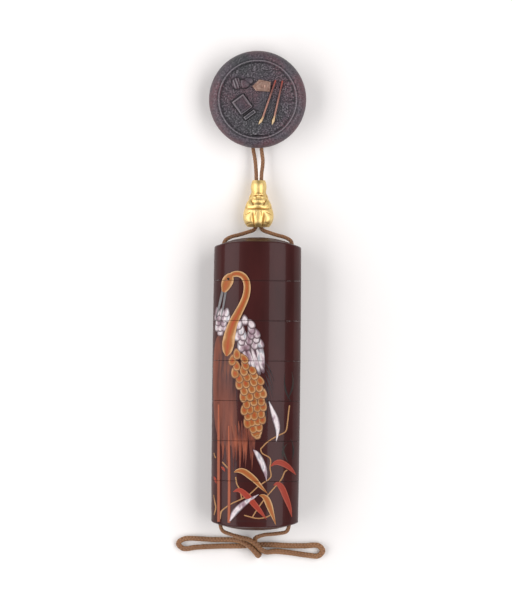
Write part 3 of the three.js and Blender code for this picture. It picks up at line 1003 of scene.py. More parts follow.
def shell_material():
    """Cut shell: white, pink and a breath of blue and green, in patches that follow its growth."""
    material, t, shader = new_material("shell", roughness=0.3, coat_weight=0.3, coat_roughness=0.08)
    place = object_place(t)
    stretched = t.vector("MULTIPLY", place, (1.0, 0.45, 1.0))
    growth = noise_at(t, stretched, 420.0, detail=3.0)
    play = ramp(t, growth, [
        (0.25, (0.16, 0.075, 0.09)), (0.42, (0.32, 0.22, 0.25)), (0.55, (0.66, 0.58, 0.57)),
        (0.66, (0.33, 0.34, 0.36)), (0.8, (0.48, 0.35, 0.38)),
    ])
    uv, outward = from_middle(t)
    # Painted shade: the outer edge of each shell piece is mixed to near black, as the shade along its raised
    # edge.
    rim = t.add("ShaderNodeMapRange", outward, 0.55, 0.86, 0.0, 0.9)
    t.feed(shader.inputs["Base Color"], mixed(t, rim, play, (0.07, 0.035, 0.042, 1)))
    return material


def plain_lacquer(name, low, high, roughness=0.45, scale=300.0):
    """One colour that wanders softly between two tones along the shape."""
    material, t, shader = new_material(name, roughness=roughness, specular_ior_level=0.15)
    stretched = t.vector("MULTIPLY", object_place(t), (1.0, 0.3, 1.0))
    tone = noise_at(t, stretched, scale, detail=3.0)
    t.feed(shader.inputs["Base Color"], ramp(t, tone, [(0.32, low), (0.68, high)]))
    return material


cream, gold, rust = (0.58, 0.38, 0.19), (0.29, 0.125, 0.03), (0.33, 0.05, 0.015)
neck_gold = dusted_material("neck_gold", cream, gold, rust, 0.9)
leaf_gold = dusted_material("leaf_gold", cream, gold, rust, 0.55)
# The gold feathers get a painted dark edge, as painted shade along their raised rims.
feather_gold = dusted_material("feather_gold", cream, gold, rust, 1.0, rim=0.85)
stem_gold = dusted_material("stem_gold", (0.5, 0.3, 0.14), (0.4, 0.2, 0.08), (0.24, 0.1, 0.04), 0.3)
leg_gold = dusted_material("leg_gold", (0.17, 0.05, 0.032), (0.30, 0.085, 0.04), (0.34, 0.085, 0.04), 0.8)
leaf_red = dusted_material(
    "leaf_red", (0.36, 0.075, 0.045), (0.25, 0.03, 0.017), (0.33, 0.045, 0.022), 0.5, metallic=0.0)
shell = shell_material()
bill_grey = plain_lacquer("bill_grey", (0.07, 0.07, 0.072), (0.2, 0.19, 0.19))
feather_grey = plain_lacquer("feather_grey", (0.016, 0.010, 0.011), (0.065, 0.045, 0.046))
sprig_bronze = plain_lacquer("sprig_bronze", (0.012, 0.010, 0.010), (0.04, 0.032, 0.026))

# %% The heron's neck, head and bill
neck = Inlay().stroke([
    (-10.5, 40.8, 1.5), (-9.0, 41.5, 2.0), (-7.4, 41.7, 2.2), (-5.7, 41.1, 2.35), (-4.4, 39.5, 2.5),
    (-3.85, 37.2, 2.55), (-3.95, 34.8, 2.6), (-4.6, 32.2, 2.65), (-5.8, 29.4, 2.75), (-7.1, 26.8, 2.95),
    (-8.5, 24.0, 3.3), (-9.5, 21.2, 3.7), (-10.2, 18.2, 4.2), (-10.7, 15.2, 4.4), (-11.0, 12.4, 3.4),
    (-11.2, 10.4, 0.6),
], 0.3, crown=0.18, across=10)
lay(neck.made("heron_neck", neck_gold), "gold_lacquer")
head = Inlay().stroke([
    (-9.2, 41.4, 1.0), (-10.1, 40.7, 2.9), (-11.0, 39.2, 4.1), (-11.7, 37.4, 3.7), (-12.2, 35.8, 2.5),
    (-12.6, 34.8, 1.4),
], 0.34, crown=0.25, across=10)
lay(head.made("heron_head", leaf_gold), "gold_lacquer")
bill = Inlay()
bill.stroke([(-12.9, 35.7, 0.9), (-13.9, 31.0, 0.8), (-14.8, 27.0, 0.55), (-15.5, 23.9, 0.2)], 0.26, across=4)
bill.stroke([(-11.8, 35.6, 0.8), (-12.5, 31.0, 0.7), (-13.1, 27.0, 0.5), (-13.7, 23.6, 0.2)], 0.22, across=4)
lay(bill.made("heron_bill", bill_grey), "gold_lacquer")
eye = Inlay().stroke([(-11.2, 39.9, 0.3), (-10.75, 39.75, 0.9), (-10.3, 39.7, 0.3)], 0.66, step=0.15)
lay(eye.made("heron_eye", plain_lacquer("eye_black", (0.008, 0.006, 0.005), (0.012, 0.01, 0.008))),
    "gold_lacquer")

# %% [markdown]
# ### The body
#
# The bird's body is dusted thinly: mauve and brown, with streaks of orange and grey that run down it like
# soft feathers. It is one broad low stroke, and the streaks are in its finish. Below it the tail ends in
# loose strands.

# %% The body and the tail


def body_material():
    material, t, shader = new_material("body_dust", roughness=0.5, specular_ior_level=0.2)
    place = object_place(t)
    streaks = noise_at(t, t.vector("MULTIPLY", place, (1.0, 0.09, 0.3)), 520.0, detail=4.0, roughness=0.6)
    broad = noise_at(t, t.vector("MULTIPLY", place, (1.0, 0.16, 0.3)), 160.0, detail=2.0)
    mauve = ramp(t, streaks, [
        (0.30, (0.022, 0.009, 0.009)), (0.45, (0.052, 0.020, 0.018)), (0.56, (0.085, 0.034, 0.028)),
        (0.68, (0.19, 0.06, 0.032)),
    ])
    red = ramp(t, broad, [(0.45, (0.0, 0.0, 0.0)), (0.62, (1.0, 1.0, 1.0))])
    t.feed(shader.inputs["Base Color"], mixed(t, t.math("MULTIPLY", red, 0.5), mauve, (0.26, 0.065, 0.03, 1)))
    return material


body_dust = body_material()
body = Inlay().stroke([
    (-11.2, 22.0, 0.8), (-12.2, 18.5, 4.2), (-12.8, 14.0, 7.0), (-12.9, 8.0, 8.9), (-12.7, 0.0, 9.6),
    (-12.1, -8.0, 9.4), (-11.2, -15.0, 8.6), (-10.6, -20.0, 7.4), (-10.4, -23.5, 5.2),
], 0.07, crown=0.1, across=24, step=0.6)
lay(body.made("heron_body", body_dust), "gold_lacquer")

tail_red = plain_lacquer("tail_red", (0.08, 0.022, 0.017), (0.26, 0.07, 0.035), scale=500.0)
tail = Inlay()
for x, top, bottom, lean, width in (
    (-12.6, -18, -29, 0.2, 1.3), (-11.3, -17, -31, 0.5, 1.4), (-9.2, -16, -33, 0.9, 1.5),
    (-7.9, -15, -30, 0.6, 1.5),
    (-6.6, -14, -33.5, 0.7, 1.5), (-5.4, -14, -30, 1.0, 1.5), (-4.2, -13, -32.5, 0.4, 1.5),
    (-3.0, -13, -29, 1.1, 1.4),
    (-2.0, -14, -33, 0.7, 1.3), (-1.0, -15, -28, 0.4, 1.2),
):
    tail.leaf((x, top), (x + lean, bottom), width, bend=0.02, lift=0.1, fullest=0.35, across=4, step=0.6)
lay(tail.made("heron_tail", tail_red), "gold_lacquer")

legs = Inlay()
legs.stroke([(-14.1, -8.0, 0.6), (-13.95, -20.0, 0.95), (-13.8, -36.0, 1.0),
             (-13.6, -52.5, 1.05)], 0.2, step=0.8)
legs.stroke([(-10.2, -16.0, 0.5), (-10.0, -26.0, 0.95), (-9.8, -38.0, 1.0),
             (-9.7, -52.8, 1.1)], 0.2, step=0.8)
lay(legs.made("heron_legs", leg_gold), "gold_lacquer")

# %% The dark feathers behind the wings
dark = Inlay()
for start, end, width in (
    ((3.2, 8.6), (6.7, 1.2), 0.5), ((3.4, 6.4), (6.4, -2.2), 0.6), ((3.2, 4.0), (6.2, -5.0), 0.6),
    ((2.9, 2.0), (5.4, -7.2), 0.6), ((2.8, 0.2), (4.7, -8.6), 0.6), ((2.9, -1.4), (4.0, -10.4), 0.6),
    ((3.3, -3.0), (3.9, -13.0), 0.6), ((3.3, -6.0), (3.5, -17.0), 0.6),
):
    dark.leaf(start, end, width, bend=0.04, lift=0.06, across=4, step=0.6)
lay(dark.made("dark_feathers", feather_grey), "gold_lacquer")

# %% [markdown]
# ### The wings
#
# The near wing is laid out in rows of small feathers, each with its own rim, like tiles on a roof: every
# row covers the roots of the row below it. One feather is modelled once. A Geometry Nodes tree sets a copy
# on every point of the wing, with the turn and size stored on that point. The rows run between the wing's
# two outlines, so the feathers fan out wherever the outlines do.

# %% One feather
def feather(name, root_lift, tip_lift, crown, taper=0.5, sides=22):
    """A feather 1 long and 1 wide, with its root at the origin and its tip at y = -1. Heights are metres."""
    angle = np.linspace(0, 2 * np.pi, sides, endpoint=False)
    share = (1 - np.cos(angle)) / 2
    outline = np.stack([
        0.5 * np.sign(np.sin(angle)) * np.abs(np.sin(angle)) ** 0.8 * (taper + (1 - taper) * share**0.6),
        -share,
    ], axis=1)
    middle = np.array([0.0, -0.56])
    loops = [1.0, 1.0, 0.9, 0.7, 0.42, 0.16]
    points, uv_of = [], []
    for k, r in enumerate(loops):
        for x, y in middle + (outline - middle) * r:
            height = UNDER if k == 0 else root_lift + (tip_lift - root_lift) * -y + crown * (1 - r**2)
            points.append((x, y, height * MM))
            uv_of.append((0.5 * (1 - r), -y))
    points += [(*middle, UNDER * MM), (*middle, (root_lift + (tip_lift - root_lift) * 0.56 + crown) * MM)]
    uv_of += [(0.0, 0.5), (0.5, 0.5)]
    faces = []
    for k in range(sides):
        n = (k + 1) % sides
        faces.append((len(points) - 2, n, k))
        for loop in range(len(loops) - 1):
            low, high = loop * sides, (loop + 1) * sides
            faces.append((low + k, low + n, high + n, high + k))
        last = (len(loops) - 1) * sides
        faces.append((last + k, last + n, len(points) - 1))
    obj = new_object(name, points, faces)
    edit = bmesh.new()
    edit.from_mesh(obj.data)
    bmesh.ops.recalc_face_normals(edit, faces=edit.faces)
    edit.to_mesh(obj.data)
    edit.free()
    layer = obj.data.uv_layers.new(name="UVMap")
    for loop in obj.data.loops:
        layer.data[loop.index].uv = uv_of[loop.vertex_index]
    return obj


# %% The tree that sets feathers on points
def feather_tree():
    group = bpy.data.node_groups.new("feathering", "GeometryNodeTree")
    face = group.interface
    face.new_socket("Geometry", in_out="INPUT", socket_type="NodeSocketGeometry")
    face.new_socket("Feather", in_out="INPUT", socket_type="NodeSocketObject")
    face.new_socket("Material", in_out="INPUT", socket_type="NodeSocketMaterial")
    face.new_socket("Geometry", in_out="OUTPUT", socket_type="NodeSocketGeometry")
    t = Tree(group)
    start = group.nodes.new("NodeGroupInput").outputs
    turn = t.add("GeometryNodeInputNamedAttribute", "turn", data_type="FLOAT")
    size = t.add("GeometryNodeInputNamedAttribute", "size", data_type="FLOAT_VECTOR")
    spin = t.add("FunctionNodeAxisAngleToRotation", (0.0, 0.0, 1.0), turn)
    one = t.add("GeometryNodeObjectInfo", start["Feather"], out=4)
    rows = t.add("GeometryNodeInstanceOnPoints")
    t.feed(rows.node.inputs["Points"], start["Geometry"])
    t.feed(rows.node.inputs["Instance"], one)
    t.feed(rows.node.inputs["Rotation"], spin)
    t.feed(rows.node.inputs["Scale"], size)
    solid = t.add("GeometryNodeRealizeInstances", rows)
    finish = t.add("GeometryNodeSetMaterial")
    t.feed(finish.node.inputs["Geometry"], solid)
    t.feed(finish.node.inputs["Material"], start["Material"])
    t.feed(group.nodes.new("NodeGroupOutput").inputs["Geometry"], finish)
    return group


feathering = feather_tree()


def along(line, count):
    """Points spread evenly along a smooth line."""
    smooth = smooth_curve([np.array(p, float) for p in line], 16)
    reach = np.concatenate([[0], np.cumsum(np.linalg.norm(np.diff(smooth, axis=0), axis=1))])
    at = np.linspace(0, reach[-1], count)
    return np.stack([np.interp(at, reach, smooth[:, k]) for k in range(2)], axis=1)


def wing_rows(left, right, rows, spacing, length, wide, chance):
    """Places (x, y, turn, length, width) of feathers in staggered rows between two outlines."""
    left, right = along(left, rows * 4 + 1), along(right, rows * 4 + 1)
    places = []
    for row in range(rows):
        k = row * 4
        n = min(k + 4, rows * 4)
        across = np.linalg.norm(right[k] - left[k])
        count = max(1, round(across / spacing))
        shift = 0.5 if row % 2 else 0.0
        for i in range(count + (0 if row % 2 == 0 else 1)):
            share = min(max((i + 0.5 - shift) / count, 0.06), 0.94)
            here = left[k] + (right[k] - left[k]) * share
            there = left[n] + (right[n] - left[n]) * share
            way = there - here
            turn = math.atan2(way[0], -way[1]) + chance.uniform(-0.05, 0.05)
            size = (length * chance.uniform(0.95, 1.06), wide * chance.uniform(0.95, 1.05))
            places.append((*here, turn, *size))
    return places


def feathered(name, one, places, material):
    """One object with a copy of the feather on every place."""
    obj = new_object(name, [(x * MM, y * MM, 0) for x, y, *rest in places], [])
    store(obj, "turn", [p[2] for p in places])
    size = obj.data.attributes.new("size", "FLOAT_VECTOR", "POINT")
    size.data.foreach_set("vector", [v for p in places for v in (p[4] * MM, p[3] * MM, 1.0)])
    modifier = obj.modifiers.new("feathers", "NODES")
    modifier.node_group = feathering
    modifier[socket_id(feathering, "Feather")] = one
    modifier[socket_id(feathering, "Material")] = material
    made = made_mesh(obj)
    print(name, len(places), "feathers,", len(made.data.polygons), "faces")
    return made


# %% The wings
chance = random.Random(7)
scale_feather = feather("scale_feather", 0.10, 0.30, 0.07)
shell_feather = feather("shell_feather", 0.08, 0.24, 0.06)
quill = feather("quill", 0.06, 0.2, 0.05, taper=0.62)

gold_wing = wing_rows(
    [(-8.0, 13.6), (-9.0, 11.0), (-9.2, 7.8), (-8.6, 4.5), (-7.4, 0.9), (-6.3, -2.3), (-5.3, -5.3),
     (-5.0, -8.2),
     (-4.4, -12.5), (-2.9, -16.0), (-0.6, -18.6)],
    [(-7.6, 13.4), (-4.8, 10.2), (-2.2, 6.8), (-0.1, 4.2), (1.9, 1.2), (3.0, -2.9), (3.3, -6.8), (3.2, -10.7),
     (2.7, -14.4), (2.1, -16.6), (1.2, -18.2)],
    14, 2.8, 4.6, 3.5, chance)
lay(feathered("gold_wing", scale_feather, gold_wing, feather_gold), "gold_lacquer")

shell_wing = wing_rows(
    [(-5.4, 26.4), (-6.9, 22.5), (-7.6, 19.0), (-7.4, 16.6), (-6.6, 14.2)],
    [(-4.3, 26.2), (-2.2, 23.4), (-0.2, 20.4), (0.9, 17.8), (1.7, 15.6)],
    6, 2.5, 4.4, 3.3, chance)
lay(feathered("shell_coverts", shell_feather, shell_wing, shell), "shell")

long_feathers = [
    (-5.9, 14.8, 0.42, 9.4, 2.2), (-4.2, 14.9, 0.36, 10.8, 2.3), (-2.4, 15.2, 0.31, 12.4, 2.35),
    (-0.5, 15.6, 0.27, 12.0, 2.3), (1.0, 15.8, 0.17, 10.0, 2.1), (2.0, 14.4, 0.08, 8.0, 1.7),
]
lay(feathered("shell_quills", quill, long_feathers, shell), "shell")

far_wing = wing_rows(
    [(-16.0, 29.2), (-15.8, 25.5), (-15.4, 22.0), (-14.8, 19.6)],
    [(-10.4, 28.6), (-10.8, 25.0), (-12.0, 22.0), (-12.8, 19.8)],
    5, 2.1, 3.6, 2.7, chance)
lay(feathered("far_wing", shell_feather, far_wing, shell), "shell")
for tool in (scale_feather, shell_feather, quill):
    bpy.data.objects.remove(tool)

# %% [markdown]
# ### The reeds
#
# The reeds below the bird are cut leaves and thin gold stems. They cross one another, so each kind lies at
# its own height: stems lowest, then red, gold and shell leaves.

# %% Stems and leaves
stems = Inlay()
for line in (
    [(12.7, -8.0), (12.4, -10.5), (12.0, -14.5), (11.3, -17.9), (8.1, -19.7), (4.5, -22.0), (1.9, -24.7)],
    [(1.9, -24.7), (2.5, -26.2), (5.6, -28.3), (5.6, -31.9), (5.9, -35.2), (3.0, -37.6), (1.3, -38.7)],
    [(12.1, -32.6), (11.3, -33.1), (10.2, -35.6), (8.8, -37.6), (4.4, -42.7), (1.2, -47.1), (-0.9, -50.6)],
    [(1.3, -38.7), (-2.7, -42.4), (-6.0, -44.2), (-9.1, -45.7), (-12.5, -48.3), (-14.0, -50.5)],
    [(-7.4, -35.4), (-6.9, -38.1), (-5.8, -40.1), (-5.0, -43.6)],
    [(-10.8, -46.9), (-12.5, -48.3), (-13.2, -51.5)],
    [(-16.1, -26.4), (-15.6, -27.4), (-15.0, -28.3)],
    [(-12.5, -29.8), (-11.3, -31.1), (-9.6, -32.8)],
    [(-16.0, -42.4), (-15.2, -45.0), (-14.8, -47.3), (-15.5, -50.0)],
    [(6.6, -49.4), (4.0, -50.6), (1.0, -51.0), (-4.0, -49.9)],
):
    stems.stroke([(x, y, 0.42) for x, y in line], 0.1, crown=0.07, across=4)
lay(stems.made("stems", stem_gold), "gold_lacquer")

red_leaves = Inlay()
for line in (
    [(5.8, -31.2, 0.3), (7.4, -30.0, 1.4), (9.2, -29.7, 2.2), (12.0, -31.0, 1.9), (14.0, -32.8, 1.1),
     (15.4, -34.4, 0.1)],
    [(7.0, -38.4, 0.3), (8.4, -37.8, 1.5), (9.8, -38.9, 2.2), (11.8, -43.2, 2.1), (13.2, -47.0, 1.3),
     (14.0, -50.4, 0.1)],
    [(-8.2, -41.0, 0.3), (-5.9, -40.4, 1.7), (-3.2, -42.4, 2.3), (0.4, -46.4, 2.1), (2.8, -49.2, 1.2),
     (4.5, -51.4, 0.1)],
    [(-12.9, -31.6, 0.2), (-12.2, -32.2, 0.9), (-11.4, -33.4, 0.1)],
    [(-15.9, -35.4, 0.2), (-15.3, -36.2, 1.0), (-14.6, -38.0, 0.1)],
):
    red_leaves.stroke(line, 0.15, crown=0.1)
lay(red_leaves.made("red_leaves", leaf_red), "red_lacquer")

gold_leaves = Inlay()
for line in (
    [(-8.0, -33.6, 0.3), (-6.4, -33.0, 1.5), (-4.6, -33.2, 2.2), (-2.4, -34.6, 2.4), (-0.1, -36.5, 2.1),
     (2.2, -39.0, 1.3), (4.8, -41.6, 0.1)],
    [(1.6, -42.3, 0.3), (3.0, -42.5, 1.4), (4.3, -43.6, 2.3), (5.4, -46.0, 2.4), (6.6, -49.4, 1.5),
     (8.0, -53.4, 0.1)],
):
    gold_leaves.stroke(line, 0.2, crown=0.12, across=8)
lay(gold_leaves.made("gold_leaves", leaf_gold), "gold_lacquer")

shell_leaves = Inlay()
for line in (
    [(4.9, -6.6, 0.3), (6.0, -9.6, 1.5), (7.2, -12.8, 2.4), (8.1, -15.8, 2.2), (8.2, -19.0, 1.2),
     (7.7, -21.9, 0.1)],
    [(-0.8, -25.0, 0.3), (0.4, -26.2, 1.7), (1.8, -28.6, 2.3), (3.2, -31.8, 2.1), (4.0, -34.4, 1.2),
     (4.3, -36.8, 0.1)],
    [(1.4, -41.9, 0.1), (-0.4, -43.0, 1.0), (-2.9, -44.6, 1.8), (-5.6, -46.8, 2.3), (-7.8, -49.3, 2.2),
     (-9.4, -52.2, 0.5)],
):
    shell_leaves.stroke(line, 0.18, crown=0.1)
lay(shell_leaves.made("shell_leaves", shell), "shell")

sprigs = Inlay()
for foot, top, lean in (
    ((13.2, -6.5), (10.9, 4.2), 0.1), ((11.6, -6.0), (13.4, 4.8), -0.12), ((12.4, -29.5), (10.6, -21.4), 0.1),
    ((13.9, -28.6), (13.2, -20.6), -0.1), ((10.4, -28.0), (12.2, -22.4), 0.14),
):
    sprigs.leaf(foot, top, 0.7, bend=lean, lift=0.03, crown=0.05, across=4)
lay(sprigs.made("sprigs", sprig_bronze), "gold_lacquer")
bpy.data.objects.remove(blades)

# %% [markdown]
# ## The bead
#
# The sliding bead is a small gilt figure of an old sage who sits with folded hands: a tall bald head, a
# beard, wide sleeves and two round knees. It is drilled lengthwise for the cord. It could be sculpted by
# hand. Here it is a turned form whose width and depth change with height, and every feature is a soft
# swelling or groove added to it, so each one can be named, moved and read.

# %% The body of the figure
BEAD_MIDDLE = BEAD_X * MM
BEAD_BOTTOM = 59.6 * MM
BEAD_LENGTH = 17.8 * MM
BEAD_AXIS_HEIGHT = 5.0 * MM
BEAD_BORE_HALF = (1.95 * MM, 1.1 * MM)
BEAD_RINGS = 150
BEAD_SIDES = 176

# Share of the height, half width and half depth in millimetres.
BEAD_PROFILE = np.array([
    (0.0, 4.1, 3.9), (0.07, 5.0, 4.7), (0.2, 5.75, 5.1), (0.32, 5.6, 5.0), (0.44, 4.9, 4.5),
    (0.56, 3.95, 3.8),
    (0.66, 3.0, 3.1), (0.74, 2.75, 2.95), (0.83, 3.0, 3.1), (0.92, 2.85, 2.9), (1.0, 2.35, 2.2),
])


def profile_at(s, column):
    """A smooth value between the rows of the profile."""
    rows, values = BEAD_PROFILE[:, 0], BEAD_PROFILE[:, column]
    slopes = np.gradient(values, rows)
    i = np.clip(np.searchsorted(rows, s) - 1, 0, len(rows) - 2)
    span = rows[i + 1] - rows[i]
    t = (s - rows[i]) / span
    return (
        values[i] * (1 - 3 * t**2 + 2 * t**3) + values[i + 1] * (3 * t**2 - 2 * t**3)
        + slopes[i] * span * (t - 2 * t**2 + t**3) + slopes[i + 1] * span * (t**3 - t**2)
    )


# %% Its features
# Swellings: how far up, degrees round from the front, how tall and how wide they are, and how far they
# stand out.
SWELLINGS = [
    (0.17, -46, 0.11, 22, 0.7), (0.17, 46, 0.11, 22, 0.7),       # knees
    (0.13, 0, 0.1, 12, 0.35),                                    # the robe's fall between them
    (0.15, -21, 0.13, 5, -0.5), (0.15, 21, 0.13, 5, -0.5),       # the folds beside it
    (0.39, 0, 0.02, 55, -0.35),                                  # the girdle
    (0.5, -62, 0.09, 20, 0.6), (0.5, 62, 0.09, 20, 0.6),         # sleeves
    (0.46, 0, 0.035, 26, 0.5),                                   # the folded hands
    (0.57, 0, 0.035, 18, 0.3),                                   # the beard
    (0.655, 0, 0.025, 8, 0.4),                                   # the nose
    (0.7, 0, 0.014, 34, 0.2),                                    # the brow
    (0.66, -88, 0.05, 9, 0.45), (0.66, 88, 0.05, 9, 0.45),       # the ears
    (0.64, -30, 0.022, 13, 0.16), (0.64, 30, 0.022, 13, 0.16),   # the cheeks
    (0.676, -21, 0.011, 9, -0.2), (0.676, 21, 0.011, 9, -0.2),   # the hollows of the eyes
    (0.672, -21, 0.006, 8, 0.1), (0.672, 21, 0.006, 8, 0.1),     # the lowered lids
    (0.613, 0, 0.006, 9, 0.12),                                  # the lips
    (0.5, -28, 0.05, 6, -0.2), (0.5, 28, 0.05, 6, -0.2),         # where the sleeves part
    (0.86, 0, 0.07, 40, 0.12),                                   # the high forehead
    (0.05, 180, 0.05, 120, 0.1),                                 # the seat
]
# Grooves and folds: from and to as (how far up, degrees), the width in millimetres, and how far they stand
# out.
FOLDS = [
    ((0.59, -50), (0.45, -18), 0.22, -0.22), ((0.59, 50), (0.45, 18), 0.22, -0.22),      # the collar
    ((0.56, -60), (0.43, -34), 0.22, 0.2), ((0.56, 60), (0.43, 34), 0.22, 0.2),
    ((0.57, -84), (0.4, -60), 0.2, -0.2), ((0.57, 84), (0.4, 60), 0.2, -0.2),            # sleeve folds
    ((0.53, -100), (0.39, -78), 0.2, -0.16), ((0.53, 100), (0.39, 78), 0.2, -0.16),
    ((0.36, -8), (0.2, -14), 0.16, -0.14), ((0.36, 8), (0.2, 14), 0.16, -0.14),          # the lap
    ((0.33, -30), (0.25, -58), 0.2, -0.16), ((0.33, 30), (0.25, 58), 0.2, -0.16),
    ((0.09, -28), (0.05, -70), 0.2, -0.16), ((0.09, 28), (0.05, 70), 0.2, -0.16),        # the hem
    ((0.35, 150), (0.08, 165), 0.25, -0.18), ((0.35, -150), (0.08, -165), 0.25, -0.18),  # the back
    ((0.36, 180), (0.08, 180), 0.25, -0.18), ((0.62, 140), (0.45, 160), 0.25, -0.15),
    ((0.62, -140), (0.45, -160), 0.25, -0.15),
    ((0.6, -9), (0.53, -6), 0.1, -0.09), ((0.6, 0),
                                          (0.52, 0), 0.1, -0.09),              # strands of the beard
    ((0.6, 9), (0.53, 6), 0.1, -0.09), ((0.475, -14), (0.45, -4), 0.1, -0.1),            # the fingers
    ((0.475, 14), (0.45, 4), 0.1, -0.1), ((0.728, -18), (0.728, 18), 0.12, -0.05),       # the forehead
    ((0.748, -14), (0.748, 14), 0.12, -0.04),
]


def bead_relief(s, degrees):
    """How far the surface stands out, in millimetres, at each height and angle."""
    relief = np.zeros(np.broadcast(s, degrees).shape)
    for height, side, tall, wide, out in SWELLINGS:
        turn = np.abs((degrees - side + 180) % 360 - 180)
        relief += out * np.exp(-(((s - height) / tall) ** 2) - (turn / wide) ** 2)
    tall_mm = BEAD_LENGTH / MM
    for (s0, a0), (s1, a1), width, out in FOLDS:
        radius = profile_at(np.array([(s0 + s1) / 2]), 1)[0]
        arc = math.radians(1) * radius
        start = np.array([s0 * tall_mm, 0.0])
        way = np.array([s1 * tall_mm, ((a1 - a0 + 180) % 360 - 180) * arc]) - start
        up, round_ = s * tall_mm - start[0], ((degrees - a0 + 180) % 360 - 180) * arc
        share = np.clip((up * way[0] + round_ * way[1]) / (way @ way), 0, 1)
        distance = np.hypot(up - share * way[0], round_ - share * way[1])
        fade = np.sin(math.pi * np.clip(0.12 + 0.76 * share, 0, 1))
        relief += out * fade * np.exp(-((distance / width) ** 2))
    return relief


# %% The finished bead
def bead():
    s = np.linspace(0, 1, BEAD_RINGS + 1)[:, None]
    angle = np.linspace(0, 2 * math.pi, BEAD_SIDES, endpoint=False)[None, :]
    degrees = np.degrees(angle)
    relief = bead_relief(s, degrees)
    width = (profile_at(s, 1) + relief) * MM
    depth = (profile_at(s, 2) + relief) * MM
    x = BEAD_MIDDLE + np.sin(angle) * width
    y = np.broadcast_to(BEAD_BOTTOM + BEAD_LENGTH * s, x.shape)
    z = np.maximum(BEAD_AXIS_HEIGHT + np.cos(angle) * depth, 0)
    rings = list(np.stack([x, y, z], axis=2))
    # Both ends turn in over a small round edge.
    for end in (0, -1):
        closing = []
        for share in (0.97, 0.9, 0.75):
            ring = rings[end].copy()
            centre = np.array([BEAD_MIDDLE, 0, BEAD_AXIS_HEIGHT])
            ring[:, [0, 2]] = centre[[0, 2]] + (ring[:, [0, 2]] - centre[[0, 2]]) * share
            closing.append(ring)
        rings = closing[::-1] + rings if end == 0 else rings + closing
    return loft("gilt_bead", rings)


def bead_drill():
    """A flat-sided bore wide enough for the two strands side by side."""
    half_width, half_height = BEAD_BORE_HALF
    turns = np.linspace(0, 2 * math.pi, 48, endpoint=False)
    flat = (half_width - half_height) * np.sign(np.cos(turns))
    rings = []
    for y, wide in ((-2, 0.25), (0, 0.25), (0.25, 0), (BEAD_LENGTH / MM - 0.25, 0), (BEAD_LENGTH / MM, 0.25),
                    (BEAD_LENGTH / MM + 2, 0.25)):
        radius = half_height + wide * MM
        rings.append(np.stack([
            BEAD_MIDDLE + flat + radius * np.cos(turns), np.full(48, BEAD_BOTTOM + y * MM),
            BEAD_AXIS_HEIGHT + radius * np.sin(turns),
        ], axis=1))
    return loft("bead_drill", rings)


# %% [markdown]
# ### Gilding
#
# Gold leaf over metal: warm, and brightest where it has been rubbed. It is nearly all reflection, so the
# colour hardly varies, but shade is painted into the hollows: they are made darker and redder. The mask of
# the hollows is worked out from the relief itself, and stored on the points of the mesh.

# %% The gilding


def hollows(obj, rounds=6):
    """How far each point lies below the average of the points around it, smoothed a little: 0 to 1."""
    points = points_of(obj)
    edges = np.empty(len(obj.data.edges) * 2, int)
    obj.data.edges.foreach_get("vertices", edges)
    a, b = edges.reshape(-1, 2).T
    count = np.bincount(a, minlength=len(points)) + np.bincount(b, minlength=len(points))
    smooth = points.copy()
    for _ in range(rounds):
        total = np.zeros_like(smooth)
        np.add.at(total, a, smooth[b])
        np.add.at(total, b, smooth[a])
        smooth = total / np.maximum(count, 1)[:, None]
    normals = np.empty(len(points) * 3)
    obj.data.vertex_normals.foreach_get("vector", normals)
    return np.einsum("ij,ij->i", smooth - points, normals.reshape(-1, 3))


def gilt_material():
    material, t, shader = new_material("gilding", metallic=1.0, roughness=0.3)
    hollow = attribute(t, "hollow")
    tone = noise_at(t, object_place(t), 420.0, detail=4.0)
    gold = ramp(t, tone, [(0.3, (0.76, 0.54, 0.20)), (0.7, (0.88, 0.68, 0.30))])
    # Painted shade: the hollows are mixed towards a darker, redder gold.
    t.feed(shader.inputs["Base Color"], mixed(t, hollow, gold, (0.42, 0.2, 0.045, 1)))
    t.feed(shader.inputs["Roughness"], t.math("MULTIPLY_ADD", tone, 0.2, 0.4))
    return material


figure = bead()
figure.modifiers.new("bore", "BOOLEAN").object = bead_drill()
figure.modifiers["bore"].solver = "MANIFOLD"
drill_tool = figure.modifiers["bore"].object
figure = made_mesh(figure)
bpy.data.objects.remove(drill_tool)
figure.data.materials.clear()
figure.data.materials.append(gilt_material())
# The mask of the painted shade in the hollows.
store(figure, "hollow", np.clip(hollows(figure, 10) / (0.03 * MM), 0, 1))
shade(figure, 50)
settle(figure, "gilt", "ojime")

# %% [markdown]
# ## The toggle
#
# The toggle is a round bun of dark wood with a sunk front. The ground of the front is punched all over, and
# the writing things of a scholar lie on it: an ink stone with its ink stick and a folded packet are carved
# in one with the ground, while a copper plaque and two brushes are laid in.
#
# All carved parts are one height field: at every point of the front a formula gives how high the wood
# stands. That keeps every shape a few readable numbers, and the mesh is one clean disc.

# %% The outline of the disc
TOGGLE_CENTRE = (TOGGLE_X * MM, 108.1 * MM)
TOGGLE_RADIUS = 18.5
TOGGLE_FLAT_RADIUS = 10.0
TOGGLE_WAIST = 6.6
TOGGLE_RIM_HEIGHT = 11.0
TOGGLE_SHOULDER = 3.2
TOGGLE_RIDGE = (14.8, 11.35)
TOGGLE_FIELD = (14.3, 10.5)
TOGGLE_SIDES = 400
FRONT_STEP = 0.13

# %% Shapes of the height field, in millimetres from the middle of the disc


def turned(x, y, middle, degrees):
    """Coordinates along and across a thing that lies turned on the disc."""
    c, s = math.cos(math.radians(degrees)), math.sin(math.radians(degrees))
    dx, dy = x - middle[0], y - middle[1]
    return dx * c + dy * s, dy * c - dx * s


def block_height(x, y, half, height, slope=0.28, corner=0.35):
    """A block with rounded corners and steep sides. It is 0 outside."""
    over_x = np.abs(x) - (half[0] - corner)
    over_y = np.abs(y) - (half[1] - corner)
    outside = np.hypot(np.maximum(over_x, 0), np.maximum(over_y, 0))
    outside = outside + np.minimum(np.maximum(over_x, over_y), 0)
    return height * (1 - smooth_step(outside, corner - slope, corner))


